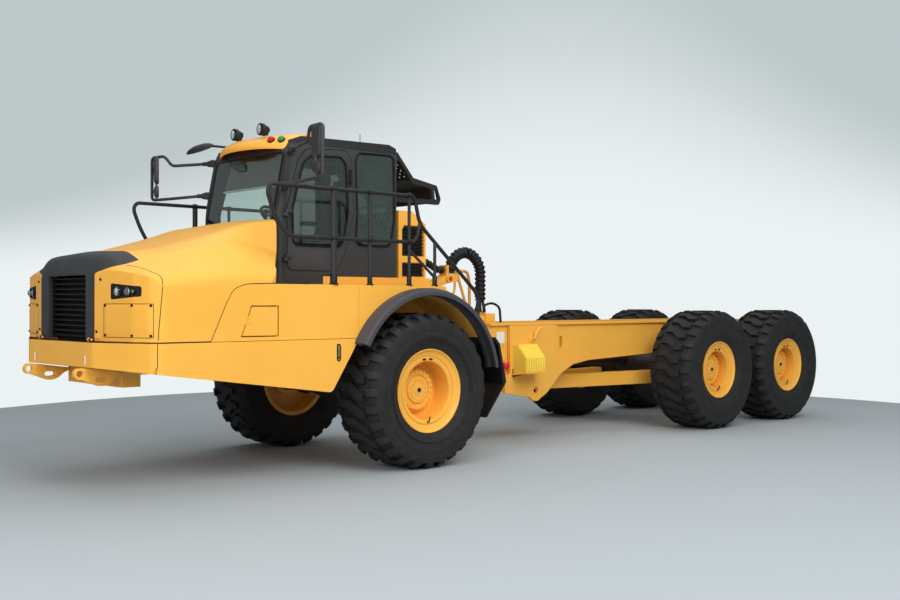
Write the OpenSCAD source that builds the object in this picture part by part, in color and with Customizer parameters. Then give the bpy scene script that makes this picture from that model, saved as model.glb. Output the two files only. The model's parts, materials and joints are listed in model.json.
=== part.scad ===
// Bare chassis of a six-wheel articulated hauler, as it leaves the works before its body is fitted.
// +X is forward, +Y is left, +Z is up. The origin lies on the ground under the middle of the length.
// Inside the modules x is counted from the front axle.

/* [Wheels] */
// Front axle to middle axle
wheelbase = 5850;          // [5200:10:6200]
// Clear gap between a middle tyre and the rear tyre behind it
tyre_gap = 196;            // [120:2:400]
// Distance between the tyres' middle planes
track = 2680;              // [2600:10:2800]
// Tyre radius as it stands, over the lugs
tyre_r = 890;              // [850:5:900]
// Tyre section width
tyre_w = 750;              // [650:10:760]
// Height of the lugs
lug_h = 46;                // [30:2:60]
// Lugs round the tyre
lug_count = 28;            // [20:1:32]
// Radius where the front tyre meets its rim
rim_front_r = 480;         // [440:5:490]
// Radius where a rear tyre meets its rim
rim_rear_r = 424;          // [400:2:440]

/* [Front unit] */
// Front axle to the tips of the tow lugs
front_overhang = 3750;     // [3600:5:3900]
// Half the width over the side panels
body_y = 1500;             // [1480:5:1520]
// Seam between the lower panels and the hood
sill_z = 1510;             // [1490:5:1525]
// Top of the walkways over the front wheels
deck_z = 2090;             // [2070:5:2120]
// Radius of the wheel arch
arch_r = 1030;             // [1010:5:1045]
// Wall of the sheet panels
skin = 40;                 // [30:2:50]
// Slats in the grille
slat_count = 12;           // [8:1:14]

/* [Cab] */
// Half the cab's width
cab_y = 800;               // [770:5:820]
// Top of the cab
cab_top_z = 3800;          // [3750:10:3850]
// Cab wall and pillar thickness
cab_wall = 60;             // [50:2:70]
// Glass thickness
glass = 8;                 // [6:1:12]
// Radius of the handrail tube
rail_r = 22;               // [18:1:26]

/* [Hitch] */
// Steering pivot, behind the front axle
hitch_back = 1500;         // [1450:10:1560]
// Height of the roll axis
hitch_z = 1000;            // [980:5:1020]
// Radius of the steering pins
pin_r = 60;                // [50:1:70]
// Radius of the roll bearing
roll_r = 200;              // [180:5:215]

/* [Rear frame] */
// Top of the frame rails
frame_z = 1620;            // [1590:5:1650]
// Width of one rail
rail_w = 160;              // [120:5:180]
// Width of a walking beam
beam_w = 160;              // [140:5:180]
// Radius of the body hinge bores
hinge_bore_r = 50;         // [40:1:60]
// Radius of the hoist pin bores
hoist_bore_r = 45;         // [35:1:55]
// Radius of the tow pin bores
tow_bore_r = 35;           // [25:1:38]

/* [Fits] */
// Radial clearance of turning fits
run_gap = 0.05;            // [0.02:0.01:0.1]
// Gap between a seated piece and its seat
seat_gap = 0.3;            // [0.1:0.1:0.5]
// Gap between a lid or door and its frame
panel_gap = 8;             // [6:1:12]
// Room between a tyre and the walking beam beside it
tyre_room = 95;            // [80:5:120]
// Room between a walking beam and the rail beside it
beam_room = 70;            // [65:1:90]

/* [Hidden] */
$fn = 64;
tandem = 2 * tyre_r + tyre_gap;
front_axle_x = (wheelbase + tandem + tyre_r - front_overhang) / 2;
axle_z = tyre_r;
wheel_y = track / 2;
tyre_in = wheel_y - tyre_w / 2;
mid_x = -wheelbase;
rear_x = mid_x - tandem;
spindle_r = 150;

// Front frame
nose_x = front_overhang - 120;
chassis_y = 340;
chassis_w = 120;
chassis_out = chassis_y + chassis_w;
chassis_lo = 1150;
chassis_hi = 1450;
hood_hinge = [nose_x - 55, 1532];
hinge_pin_r = 12;

// Panels
fender_in = 860;
fender_x = nose_x - 890;
arch_c = [-20, 950];
flap_x = fender_x - 764;
flap_hinge = [flap_x - 4, body_y - 11];
flap = [[flap_x, 1855], [flap_x, 1560], [flap_x + 409, 1562], [flap_x + 299, 1855]];
rail_line = body_y - 30;
pad_z = 1740;

// Cab
cab_floor_z = 2200;
cab_skirt_z = 2100;
cab_step_x = 880;
cab_front_x = 1510;
cab_rear_x = -260;
roof_z = cab_top_z - 110;
belt_z = (cab_floor_z + cab_top_z) / 2 - 50;
screen_lo = [cab_front_x, 2800];
screen_hi = [cab_front_x - 160, cab_top_z - 200];
door_hinge = [1388, cab_y + 22];
door_hinge_z = [2360, 2860];
tower_top_z = cab_top_z - 775;

// Hitch and steering cylinders
hitch_x = -hitch_back;
frame_front_x = hitch_x - 450;
steer_a = [-380, 600];
steer_b = [hitch_x - 150, 420];
steer_pin_r = 35;
steer_len = norm(steer_b - steer_a);
steer_yaw = atan2(steer_b[1] - steer_a[1], steer_b[0] - steer_a[0]);
steer_half = 330;
steer_rod_r = 42;
ear_gap = 50;
ear_t = 30;

// Hose bundle over the hitch: its place across, its bend, and where it stands on its rest and on the
// rear frame
hose_y = 160;
hose_r = 62;
hose_bend_r = 290;
hose_front_x = hitch_x - 180;
hose_rear_x = hose_front_x - 2 * hose_bend_r;
hose_rest_z = 2280;
hose_foot_z = frame_z + 150;

// Rear frame
beam_out = tyre_in - tyre_room;
beam_in = beam_out - beam_w;
rail_y = beam_in - beam_room;
plate_t = 60;
frame_rear_x = rear_x - 624;
hinge_c = [rear_x - 764, 1480];
hoist_c = [-2810, 690];
trunnion = [mid_x - tandem / 2, 1260];
drawbar_x = -2960;

yellow = [0.95, 0.68, 0.22];
charcoal = [0.2, 0.2, 0.21];
rubber = [0.12, 0.12, 0.12];
steel = [0.6, 0.6, 0.62];
tint = [0.5, 0.6, 0.58, 0.5];

// Moves a piece from front-axle coordinates into the part's frame.
module place() { translate([front_axle_x, 0, 0]) children(); }

// The piece and its mirror image on the other side.
module both() { children(); mirror([0, 1, 0]) children(); }

// A side view drawn in x and z, made solid from y0 to y1.
module side(y0, y1) { translate([0, y1, 0]) rotate([90, 0, 0]) linear_extrude(y1 - y0) children(); }

// A front view drawn in y and z, made solid from x0 to x1.
module front(x0, x1) { translate([x0, 0, 0]) rotate([90, 0, 90]) linear_extrude(x1 - x0) children(); }

// A plan drawn in x and y, made solid from z0 to z1.
module plan(z0, z1) { translate([0, 0, z0]) linear_extrude(z1 - z0) children(); }

// A box or a rectangle from its low corner to its high corner.
module box(a, b) { translate(a) cube(b - a); }
module box2(a, b) { translate(a) square(b - a); }

// An outline with its outer corners rounded, and one that is grown all round.
module rounded(r) { offset(r = r, $fn = 32) offset(delta = -r) children(); }
module grown(d) { offset(delta = d) children(); }

// A round bar between two points, and a bent tube with a ball at each bend.
module bar(a, b, r) {
  d = b - a;
  n = norm(d);
  translate(a) rotate([0, acos(d[2] / n), atan2(d[1], d[0])]) cylinder(r = r, h = n, $fn = 24);
}
module tube(path, r) {
  for (i = [0 : len(path) - 2]) bar(path[i], path[i + 1], r);
  if (len(path) > 2) for (i = [1 : len(path) - 2]) translate(path[i]) sphere(1.06 * r, $fn = 24);
}

// Shafts along y and along x.
module shaft_y(x, z, r, y0, y1) { translate([x, y1, z]) rotate([90, 0, 0]) cylinder(r = r, h = y1 - y0); }
module shaft_x(x0, x1, y, z, r) { translate([x0, y, z]) rotate([0, 90, 0]) cylinder(r = r, h = x1 - x0); }

// A slot with round ends, along a side view's x.
module slot(a, b, r) {
  translate(a) circle(r = r);
  translate(b) circle(r = r);
  d = b - a;
  translate(a) rotate(atan2(d[1], d[0])) translate([0, -r]) square([norm(d), 2 * r]);
}

// A smooth curve through points, n steps from each to the next.
function between(a, b, c, d, t) = 0.5 * (2 * b + t * (c - a) + t * t * (2 * a - 5 * b + 4 * c - d)
  + t * t * t * (3 * b - a - 3 * c + d));
function smooth(p, n) = let(m = len(p) - 1) [for (i = [0 : m - 1], k = [0 : n - 1])
  between(p[max(i - 1, 0)], p[i], p[i + 1], p[min(i + 2, m)], k / n), p[m]];

// A corner at p, between a and b, eased off over the length r in n steps.
function eased(a, p, b, r, n) = let(u = (a - p) / norm(a - p), v = (b - p) / norm(b - p),
  t = min(r, 0.45 * norm(a - p), 0.45 * norm(b - p)))
  [for (i = [0 : n]) let(k = i / n) p + u * t * (1 - k) * (1 - k) + v * t * k * k];

// A skin through a row of sections with the same number of points each.
module loft(sec) {
  n = len(sec[0]);
  m = len(sec);
  polyhedron(points = [for (s = sec) each s],
    faces = concat([[for (j = [n - 1 : -1 : 0]) j]],
      [for (i = [0 : m - 2], j = [0 : n - 1]) [i * n + j, i * n + (j + 1) % n, (i + 1) * n + j]],
      [for (i = [0 : m - 2], j = [0 : n - 1])
        [(i + 1) * n + j, i * n + (j + 1) % n, (i + 1) * n + (j + 1) % n]],
      [[for (j = [0 : n - 1]) (m - 1) * n + j]]));
}

// Front frame and axle

// Two rails that reach forward to the bumper, a nose beam, cross tubes and the steering pin's ears.
module front_frame() {
  color(yellow) place() {
    both() side(chassis_y, chassis_out) difference() {
      polygon([[-1050, chassis_lo], [nose_x - 560, chassis_lo], [nose_x - 400, 1300], [nose_x - skin,
        1300],
        [nose_x - skin, 1440], [nose_x - 420, 1440], [nose_x - 560, chassis_hi], [-1050, chassis_hi]]);
      for (x = [-700, 300, 700, 1400]) translate([x, 1300]) circle(r = 60);
    }
    box([nose_x - 580, -640, 1040], [nose_x - 380, 640, chassis_hi]);
    for (x = [500, 1200]) shaft_y(x, 1250, 55, -chassis_y - 20, chassis_y + 20);
    box([-1050, -chassis_y - 20, hitch_z - 290], [-900, chassis_y + 20, chassis_hi]);
    for (z = [hitch_z - 290, hitch_z + 210]) plan(z, z + 80) {
      polygon([[-900, -300], [-900, 300], [hitch_x + 40, 165], [hitch_x + 40, -165]]);
      translate([hitch_x, 0]) circle(r = 170);
    }
    translate([hitch_x, 0, hitch_z - 310]) cylinder(r = pin_r, h = 620);
    for (z = [hitch_z - 310, hitch_z + 290]) translate([hitch_x, 0, z]) cylinder(r = 90, h = 20);
    both() steer_bracket();
    side(hose_y - 80, hose_y + 80) polygon([[-900, chassis_hi - 60], [-900, 1700], [-1200, 2130],
      [-1600, hose_rest_z],
      [hose_front_x - 80, hose_rest_z], [hose_front_x - 80, hose_rest_z - 100], [-1640,
        hose_rest_z - 100],
      [-1300, 2060], [-1050, 1650], [-1050, chassis_hi - 60]]);
    shaft_y(-1600, hose_rest_z - 62, 58, hose_y - 100, hose_y + 110);
    side(hose_y - 70, hose_y + 70) box2([hose_front_x + hose_r + 12, hose_rest_z - 40],
      [hose_front_x + hose_r + 58, hose_rest_z + 120]);
  }
}

// Ears under the rail that hold a steering cylinder's head pin.
module steer_bracket() {
  for (z = [hitch_z - ear_gap - ear_t, hitch_z + ear_gap]) plan(z, z + ear_t) {
    translate(steer_a) circle(r = 80);
    box2([steer_a[0] - 80, 400], steer_a + [80, 0]);
  }
  box([steer_a[0] - 80, 400, hitch_z - ear_gap - ear_t], [steer_a[0] + 80, 440, chassis_lo + 20]);
  translate([steer_a[0], steer_a[1], hitch_z - ear_gap - ear_t])
    cylinder(r = steer_pin_r, h = 2 * (ear_gap + ear_t));
}

// Brackets from the rails to the panels, the cab, the struts and the hood's hinge.
module carriers() {
  color(yellow) place() both() {
    box([1560, chassis_out, 1300], [1680, body_y - skin, 1400]);
    for (x = [1170, fender_x - 590]) front(x, x + 120)
      polygon([[chassis_out, 1350], [560, 1350], [560, 1590], [fender_in, 1650], [fender_in, 1750],
        [chassis_out, 1750]]);
    front(-620, -500) polygon([[chassis_out, 1350], [540, 1350], [540, 1620], [fender_in, 1640],
      [fender_in, 1900],
      [760, 1900], [760, 1760], [chassis_out, 1720]]);
    for (x = [-350, 1050]) box([x, chassis_y, chassis_hi], [x + 110, chassis_out, 1900]);
    box([-150, chassis_out, 1300], [150, 720, chassis_hi]);
    box([nose_x - 230, chassis_out, 1300], [nose_x - skin, 615, 1440]);
    box([nose_x - 77, 585, 1400], [nose_x - skin, 615, hood_hinge[1]]);
    shaft_y(hood_hinge[0], hood_hinge[1], 20, 585, 615);
    shaft_y(hood_hinge[0], hood_hinge[1], hinge_pin_r, 550, 650);
  }
}

// Beam axle with a ball-shaped differential, tapered arms and wheel spindles.
module axle_beam(x) {
  shaft_y(x, axle_z, 150, -780, 780);
  both() translate([x, 200, axle_z]) rotate([-90, 0, 0]) cylinder(r1 = 225, r2 = 160, h = 330);
  both() shaft_y(x, axle_z, 172, 770, 820);
  shaft_y(x, axle_z, spindle_r - 2, -wheel_y + 140, wheel_y - 140);
  both() shaft_y(x, axle_z, spindle_r, wheel_y - 150, wheel_y + 30);
  translate([x, 0, axle_z]) sphere(290);
}

module front_axle() {
  color(charcoal) place() {
    axle_beam(0);
    both() translate([0, 620, axle_z]) cylinder(r = 75, h = 1300 - axle_z);
    both() translate([0, 620, axle_z]) cylinder(r = 95, h = 260);
  }
}

module engine_block() {
  color(charcoal) place() box([nose_x - 1880, -chassis_y, 1230], [nose_x - 650, chassis_y, 2230]);
}

module radiator() {
  color(charcoal) place() box([nose_x - 550, -520, chassis_hi], [nose_x - 390, 520, 2190]);
}

// Lower panels: a bumper that wraps back along both sides to the wheel arches.
module bumper_plan(d) {
  grown(-d) rounded(170) polygon([[500, -body_y], [nose_x - 310, -body_y], [nose_x - 168, -1200],
    [nose_x, -770],
    [nose_x, 770], [nose_x - 168, 1200], [nose_x - 310, body_y], [500, body_y]]);
}
module bumper() {
  top_z = sill_z - 5;
  color(yellow) place() difference() {
    intersection() {
      union() {
        plan(900, top_z) difference() {
          bumper_plan(0);
          bumper_plan(skin);
        }
        both() side(body_y - 260, body_y - skin / 2)
          polygon([[1300, 938], [nose_x - 300, 1216], [nose_x - 300, 1246], [1300, 968]]);
        intersection() {
          plan(900, 1400) bumper_plan(skin / 2);
          side(-body_y, body_y) polygon([[nose_x - 330, 1212], [nose_x, 1262], [nose_x, 1292],
            [nose_x - 330, 1242]]);
        }
      }
      side(-2000, 2000) polygon([[900, top_z + 1], [1235, 990], [1262, 952], [1300, 938],
        [nose_x - 300, 1216],
        [nose_x + 10, 1262], [nose_x + 10, top_z + 1]]);
    }
    both() box([nose_x - 130, 570, 1300], [nose_x + 70, 600, 1355]);
    both() box([nose_x - 313, body_y - 6, 900], [nose_x - 307, body_y + 1, sill_z]);
    both() side(body_y - 12, body_y + 1) slot([1180, 1290], [1180, 1420], 30);
  }
}

// Lifting and towing plates with a wavy foot, an eye at the tip and a slot.
lug_eye = [front_overhang - 55, 1195];
module tow_lugs() {
  color(yellow) place() both() difference() {
    side(590, 650) {
      polygon(concat(smooth([lug_eye + [-10, -54], [nose_x - 60, 1098], [nose_x - 150, 1068],
        [nose_x - 240, 1086],
        [nose_x - 310, 1140], [nose_x - 380, 1168]], 5), [[nose_x - 380, 1194], [nose_x - 330, 1200],
        [nose_x + 20, 1250], lug_eye + [10, 54]]));
      translate(lug_eye) circle(r = 55);
    }
    shaft_y(lug_eye[0], lug_eye[1], tow_bore_r, 500, 700);
    side(500, 700) slot([nose_x - 190, 1134], [nose_x - 120, 1134], 24);
  }
}

// Side boxes with walkway tops and wheel arches.
module fender_face() {
  difference() {
    union() {
      rounded(150) polygon([[600, sill_z], [fender_x, sill_z], [fender_x - 250, 2030], [fender_x - 400,
        deck_z - 10],
        [fender_x - 700, deck_z], [600, deck_z]]);
      polygon([[900, sill_z], [fender_x, sill_z], [fender_x - 190, 1920], [900, 1920]]);
      polygon([[900, 1600], [900, deck_z], [-380, deck_z], [-520, 1700]]);
      intersection() {
        translate(arch_c) circle(r = arch_r + 125, $fn = 240);
        box2([-1300, 1480], [700, 2040]);
      }
    }
    translate(arch_c) circle(r = arch_r, $fn = 240);
  }
}
module fenders() {
  seam = 6;
  hinge_room = 12;
  color(yellow) place() {
    difference() {
      both() {
        side(fender_in, body_y) fender_face();
        side(body_y - 70, body_y) difference() {
          box2([-1000, 1500], [-880, pad_z]);
          translate(arch_c) circle(r = arch_r, $fn = 240);
        }
      }
      side(body_y - 60, body_y + 1) grown(13) polygon(flap);
      translate([flap_hinge[0], flap_hinge[1], 1548]) cylinder(r = 11 + hinge_room, h = 319);
      box([flap_x + 64, body_y - 200, 1620], [flap_x + 264, body_y, 1800]);
      both() box([905, body_y - seam, sill_z - 1], [905 + seam, body_y + 1, deck_z + 1]);
      both() box([905, fender_in - 1, deck_z - seam], [905 + seam, body_y + 1, deck_z + 1]);
    }
    translate([flap_hinge[0], flap_hinge[1], 1540]) cylinder(r = 6, h = 336);
  }
}

// Dark rubber lips that flare out round the arches.
module arch_trims() {
  low = 27;
  high = 171;
  lip = 85;
  out = 190;
  color(charcoal) place() both() translate([arch_c[0], body_y, arch_c[1]]) rotate([90, 0,
    0]) mirror([0, 0, 1])
    rotate([0, 0, low]) rotate_extrude(angle = high - low, $fn = 240)
      polygon([[arch_r, 0], [arch_r + lip, 0], [arch_r + lip, out - 70], [arch_r + lip - 22, out - 20],
        [arch_r + lip - 55, out], [arch_r, out], [arch_r, out - 22], [arch_r + lip - 62, out - 26],
        [arch_r + lip - 46, out - 50], [arch_r + lip - 30, 60], [arch_r, 60]]);
}

// Flaps behind the front wheels, each hung from its fender.
module ladders() {
  color(charcoal) place() both() side(1040, 1640) polygon([[-1015, 1480], [-1075, 1480], [-1150, 1400],
    [-1262, 930], [-930, 520], [-900, 520], [-1205, 905], [-1120, 1370]]);
}

// Cab and what stands round it

module cab_base() {
  color(yellow) place() side(-cab_y, cab_y) polygon([[-760, 1900], [cab_front_x - 20, 1900],
    [cab_front_x - 20, cab_skirt_z], [cab_step_x, cab_skirt_z], [cab_step_x, cab_floor_z], [-760,
      cab_floor_z]]);
}

module cab_side() {
  polygon([[cab_step_x, cab_floor_z], [cab_step_x, cab_skirt_z], [cab_front_x - 20, cab_skirt_z],
    screen_lo,
    screen_hi, [screen_hi[0] - 60, cab_top_z - 70], [1180, cab_top_z - 25], [-100, cab_top_z],
    [cab_rear_x + 40, cab_top_z - 40], [cab_rear_x, cab_top_z - 130], [cab_rear_x, cab_floor_z]]);
}
module cab_side_in() {
  w = cab_wall;
  polygon([[cab_front_x - 20 - w, cab_floor_z + w], screen_lo - [w, 0], screen_hi - [w, 10],
    [screen_hi[0] - 60 - 0.8 * w, cab_top_z - 70 - w], [1180, cab_top_z - 25 - w], [-100, cab_top_z - w],
    [cab_rear_x + 40 + 0.8 * w, cab_top_z - 40 - w], [cab_rear_x + w, cab_top_z - 140],
    [cab_rear_x + w, cab_floor_z + w]]);
}
module cab_hollow() {
  difference() {
    intersection() {
      side(-cab_y, cab_y) cab_side();
      plan(2000, cab_top_z + 50) rounded(90) box2([cab_rear_x, -cab_y], [cab_front_x, cab_y]);
    }
    side(-cab_y + cab_wall, cab_y - cab_wall) cab_side_in();
  }
}
module door_line() {
  rounded(70) polygon([[1366, cab_floor_z + 62], [1374, belt_z], [1225, cab_top_z - 300], [1110,
    cab_top_z - 165],
    [560, cab_top_z - 135], [475, cab_top_z - 230], [440, belt_z], [560, 2500], [690, cab_floor_z + 62]]);
}
module door_pane() {
  rounded(60) polygon([[1285, 2560], [1290, belt_z], [1150, cab_top_z - 340], [1060, cab_top_z - 255],
    [640, cab_top_z - 235], [575, cab_top_z - 310], [545, belt_z], [610, 2640], [650, 2560]]);
}
module rear_pane() {
  rounded(60) polygon([[-95, 2590], [400, 2590], [372, belt_z], [400, cab_top_z - 240], [360,
    cab_top_z - 160],
    [-150, cab_top_z - 150], [-160, 2900]]);
}
module below_roof() { box([-2000, -2000, 1000], [2000, 2000, roof_z]); }

module cab_shell() {
  color(charcoal) place() {
    difference() {
      intersection() {
        cab_hollow();
        below_roof();
      }
      side(cab_y - cab_wall - 1, cab_y + 1) grown(panel_gap) door_line();
      side(-cab_y - 1, -cab_y + cab_wall + 1) door_pane();
      side(-cab_y - 1, cab_y + 1) rear_pane();
      box([cab_front_x - 350, -690, screen_lo[1] - 20], [cab_front_x + 50, 690, screen_hi[1] - 40]);
      box([cab_rear_x - 10, -600, 2700], [cab_rear_x + cab_wall + 10, 600, cab_top_z - 240]);
    }
    for (z = door_hinge_z) {
      translate([door_hinge[0], door_hinge[1], z]) cylinder(r = 16, h = 40);
      translate([door_hinge[0], door_hinge[1], z]) cylinder(r = 8, h = 80);
      box([door_hinge[0], cab_y - 10, z], [door_hinge[0] + 50, door_hinge[1] + 16, z + 40]);
    }
  }
}

module cab_roof() {
  color(charcoal) place() difference() {
    cab_hollow();
    below_roof();
  }
}

// Panes bonded on the outside of the frame.
module cab_glass() {
  lean = screen_lo - screen_hi;
  color(tint) place() {
    side(-cab_y - glass, -cab_y) grown(20) door_pane();
    side(-cab_y - glass, -cab_y) grown(20) rear_pane();
    side(cab_y, cab_y + glass) grown(20) rear_pane();
    translate([screen_lo[0], 0, screen_lo[1]]) rotate([0, -90 - atan2(lean[1], lean[0]), 0])
      front(0, glass) rounded(60) box2([-708, -15], [708, norm(lean) - 15]);
    front(cab_rear_x - glass, cab_rear_x) rounded(60) box2([-630, 2670], [630, cab_top_z - 200]);
  }
}

// Peak over the windscreen, crowned in plan.
module visor_face() {
  t = cab_top_z;
  polygon(concat([[1180, t - 25], [screen_hi[0] - 60, t - 70], [1500, t - 118], [1512, t - 150]],
    smooth([[1545, t - 158], [1552, t - 120], [1520, t - 70], [1400, t - 5], [1180, t + 38], [1000,
      t + 40]], 4),
    [[1000, t - 20]]));
}
module visor_plan() {
  edge = [for (a = [-40 : 8 : 40]) [1555 - 1180 * (1 - cos(a)), 1180 * sin(a)]];
  polygon(concat([[900, -760]], edge, [[900, 760]]));
}
module cab_visor() {
  color(yellow) place() difference() {
    intersection() {
      side(-780, 780) visor_face();
      plan(cab_top_z - 300, cab_top_z + 100) visor_plan();
    }
    side(-900, 900) cab_side();
  }
}

// Guard over the rear window: two bent side frames and a perforated plate.
guard = [[-345, -62], [-590, -370], [-900, -455], [-955, -643]];
module cab_guard() {
  t = cab_top_z;
  steep = guard[0] - guard[1];
  flat = guard[1] - guard[2];
  color(charcoal) place() difference() {
    union() {
      both() side(640, 680) difference() {
        rounded(25) polygon([[cab_rear_x + 30, t - 170], [-330, t - 55], [-590, t - 350], [-985, t - 420],
          [-1050, t - 590], [-1020, t - 660], [cab_rear_x + 30, t - 660]]);
        rounded(25) polygon([[-300, t - 190], [-345, t - 140], [-570, t - 410], [-880, t - 465], [-905,
          t - 600],
          [-300, t - 610]]);
        rounded(15) polygon([[-935, t - 470], [-970, t - 460], [-1010, t - 590], [-950, t - 600]]);
      }
      side(-650, 650) translate([0, t]) polygon(concat(guard, [guard[3] + [-14, 4]],
        [for (i = [2 : -1 : 0]) guard[i] + [-12, 14]]));
    }
    box([cab_rear_x, -700, t - 800], [cab_rear_x + 100, 700, t]);
    for (i = [0 : 6], j = [-6 : 6]) let(p = guard[1] + steep * (i + 1.2) / 9)
      translate([p[0], 92 * j + (i % 2) * 46 - 23, t + p[1]]) rotate([0, -atan2(steep[1], steep[0]), 0])
        cylinder(r = 17, h = 120, center = true, $fn = 24);
    for (j = [-5 : 5]) let(p = guard[2] + flat * 0.5)
      translate([p[0], 105 * j, t + p[1]]) rotate([0, -atan2(flat[1], flat[0]), 0])
        box([-110, -18, -60], [110, 18, 60]);
  }
}

// Seat, dash and steering wheel.
module operator_station() {
  floor_z = cab_floor_z + cab_wall;
  seat_z = floor_z + 300;
  back_z = cab_top_z - 490;
  color(rubber) place() {
    translate([330, 0, floor_z]) cylinder(r = 150, h = 310);
    side(-250, 250) rounded(40) polygon([[80, seat_z], [80, seat_z + 120], [570, seat_z + 140], [580,
      seat_z]]);
    side(-240, 240) rounded(35) polygon([[70, seat_z], [185, seat_z], [90, back_z], [-10, back_z]]);
    box([1180, -700, floor_z], [cab_front_x - cab_wall - 30, 700, belt_z - 310]);
    bar([1250, 0, belt_z - 350], [1010, 0, belt_z - 50], 40);
    translate([1000, 0, belt_z - 45]) rotate([0, -40, 0]) {
      rotate_extrude($fn = 48) translate([190, 0]) circle(r = 18, $fn = 16);
      for (a = [0, 120, 240]) rotate([0, 0, a]) bar([0, 0, 0], [190, 0, 0], 14);
    }
  }
}

// Box behind the cab with two sunk vents on each side and a chamfered top.
module rear_tower() {
  w = cab_y - 40;
  x0 = -725;
  x1 = cab_rear_x - 20;
  color(yellow) place() difference() {
    side(-w, w) polygon([[x0, cab_floor_z], [x1, cab_floor_z], [x1, tower_top_z], [x0 + 230, tower_top_z],
      [x0, tower_top_z - 150]]);
    both() side(w - 40, w + 1) {
      polygon([[x0 + 25, tower_top_z - 230], [x0 + 65, tower_top_z - 180], [x1 - 95, tower_top_z - 180],
        [x1 - 60, tower_top_z - 230], [x1 - 60, tower_top_z - 555], [x0 + 25, tower_top_z - 555]]);
      box2([x0 + 25, cab_floor_z + 15], [x1 - 60, tower_top_z - 635]);
    }
  }
}

// Walkway rails of dark tube, with a wider first post.
rail_z = [deck_z + 500, deck_z + 1030];
module handrails() {
  y = rail_line;
  color(charcoal) place() both() {
    for (p = [[1230, 32], [733, rail_r - 3], [159, rail_r - 3]])
      bar([p[0], y, deck_z], [p[0], y, rail_z[1]], p[1]);
    tube([[0, y, rail_z[1] - 318], [40, y, rail_z[0] + 60], [100, y, rail_z[0]], [1780, y, rail_z[0]],
      [1890, y, rail_z[0] + 60], [1990, y, rail_z[0] + 230], [2065, y, rail_z[1] - 110], [2065, y,
        rail_z[1] - 45],
      [2020, y, rail_z[1]], [110, y, rail_z[1]], [72, y, rail_z[1] - 40], [0, y, rail_z[1] - 318],
      [-880, y, deck_z - 45], [-940, y, deck_z - 130], [-940, y, pad_z]], rail_r);
    bar([159, y, rail_z[0] - 90], [-240, y, deck_z + 95], rail_r - 5);
    bar([-234, y, deck_z], [-234, y, deck_z + 510], rail_r - 3);
  }
}

// Rear-view mirrors: two heads inside a loop of tube, on two swivel blocks at the cab.
mirror_feet = [[1345, cab_top_z - 205], [1425, cab_top_z - 605]];
module mirrors() {
  t = cab_top_z;
  arm_y = cab_y + 190;
  color(charcoal) place() both() {
    for (p = mirror_feet) {
      box([p[0] - 50, cab_y, p[1] - 45], [p[0] + 50, cab_y + 24, p[1] + 45]);
      bar([p[0], cab_y + 12, p[1]], [p[0] + 40, arm_y, p[1] + 10], 38);
    }
    tube([[mirror_feet[0][0] + 30, cab_y + 140, mirror_feet[0][1] + 8], [1560, 1460, t - 190], [1610,
      1560, t - 60],
      [1640, 1830, t - 60], [1640, 1830, t - 600], [1560, 1460, t - 600],
      [mirror_feet[1][0] + 30, cab_y + 140, mirror_feet[1][1] + 8]], 18);
    bar([1625, 1700, t - 60], [1625, 1700, t - 600], 14);
    front(1632, 1720) rounded(45) box2([1590, t - 400], [1800, t - 40]);
    front(1632, 1705) rounded(40) box2([1605, t - 570], [1785, t - 425]);
  }
}

// Two round work lamps on the peak.
module roof_lamps() {
  color(charcoal) place() difference() {
    for (y = [-190, 370]) {
      translate([1340, y, cab_top_z + 70]) rotate([0, 90, 0]) cylinder(r1 = 38, r2 = 66, h = 70);
      shaft_x(1410, 1440, y, cab_top_z + 70, 70);
      box([1350, y - 20, cab_top_z - 60], [1400, y + 20, cab_top_z + 40]);
    }
    side(-800, 800) visor_face();
  }
}

// Tilting hood

hood_front = nose_x - 82;
hood_back = 1545;
// Stations from nose to cab: share of the length, soft edge z, crease y, crease z, top y, top z,
// middle z.
hood_form = [
  [0, 2060, 700, 2130, 560, 2190, 2200],
  [0.0165, 2080, 740, 2215, 600, 2300, 2320],
  [0.044, 2100, 800, 2275, 650, 2365, 2385],
  [0.104, 2120, 900, 2310, 700, 2400, 2425],
  [0.294, 2155, 1020, 2395, 770, 2455, 2475],
  [0.473, 2190, 1045, 2470, 800, 2545, 2565],
  [0.648, 2205, 1060, 2530, 825, 2645, 2665],
  [0.793, 2190, 1040, 2500, 838, 2740, 2760],
  [0.878, 2180, 1000, 2480, 842, 2775, 2800],
  [1, 2170, 930, 2440, 845, 2815, 2840]];
function hood_half(s, d, foot) = let(p = [[body_y - d, foot], [body_y - d, s[1] - 0.4 * d],
  [s[2] - 0.6 * d, s[3] - d],
  [s[4] - 0.4 * d, s[5] - d], [0, s[6] - d]])
  concat([p[0]], eased(p[0], p[1], p[2], 130, 4), eased(p[1], p[2], p[3], 45, 2), eased(p[2], p[3],
    p[4], 90, 3), [p[4]]);
function hood_sec(x, s, d, foot) = let(h = hood_half(s, d, foot), n = len(h))
  concat([for (q = h) [x, q[0], q[1]]], [for (i = [n - 2 : -1 : 0]) [x, -h[i][0], h[i][1]]]);
module hood_loft(d, foot, past) {
  form = smooth(hood_form, 3);
  n = len(form);
  loft([for (i = [0 : n - 1]) hood_sec(hood_front - form[i][0] * (hood_front - hood_back) - (i == n - 1
    ? past : 0)
    + (i == 0 ? past : 0), form[i], d, foot)]);
}
module hood_plan(d, back) {
  grown(-d) rounded(170) polygon([[hood_back - back, -850], [hood_back + 355 - back, -1350],
    [hood_back + 415 - back, -body_y - 1], [nose_x - 310, -body_y - 1], [nose_x - 190, -1230],
      [hood_front, -645],
    [hood_front, 645], [nose_x - 190, 1230], [nose_x - 310, body_y + 1], [hood_back + 415 - back,
      body_y + 1],
    [hood_back + 355 - back, 1350], [hood_back - back, 850]]);
}
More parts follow.
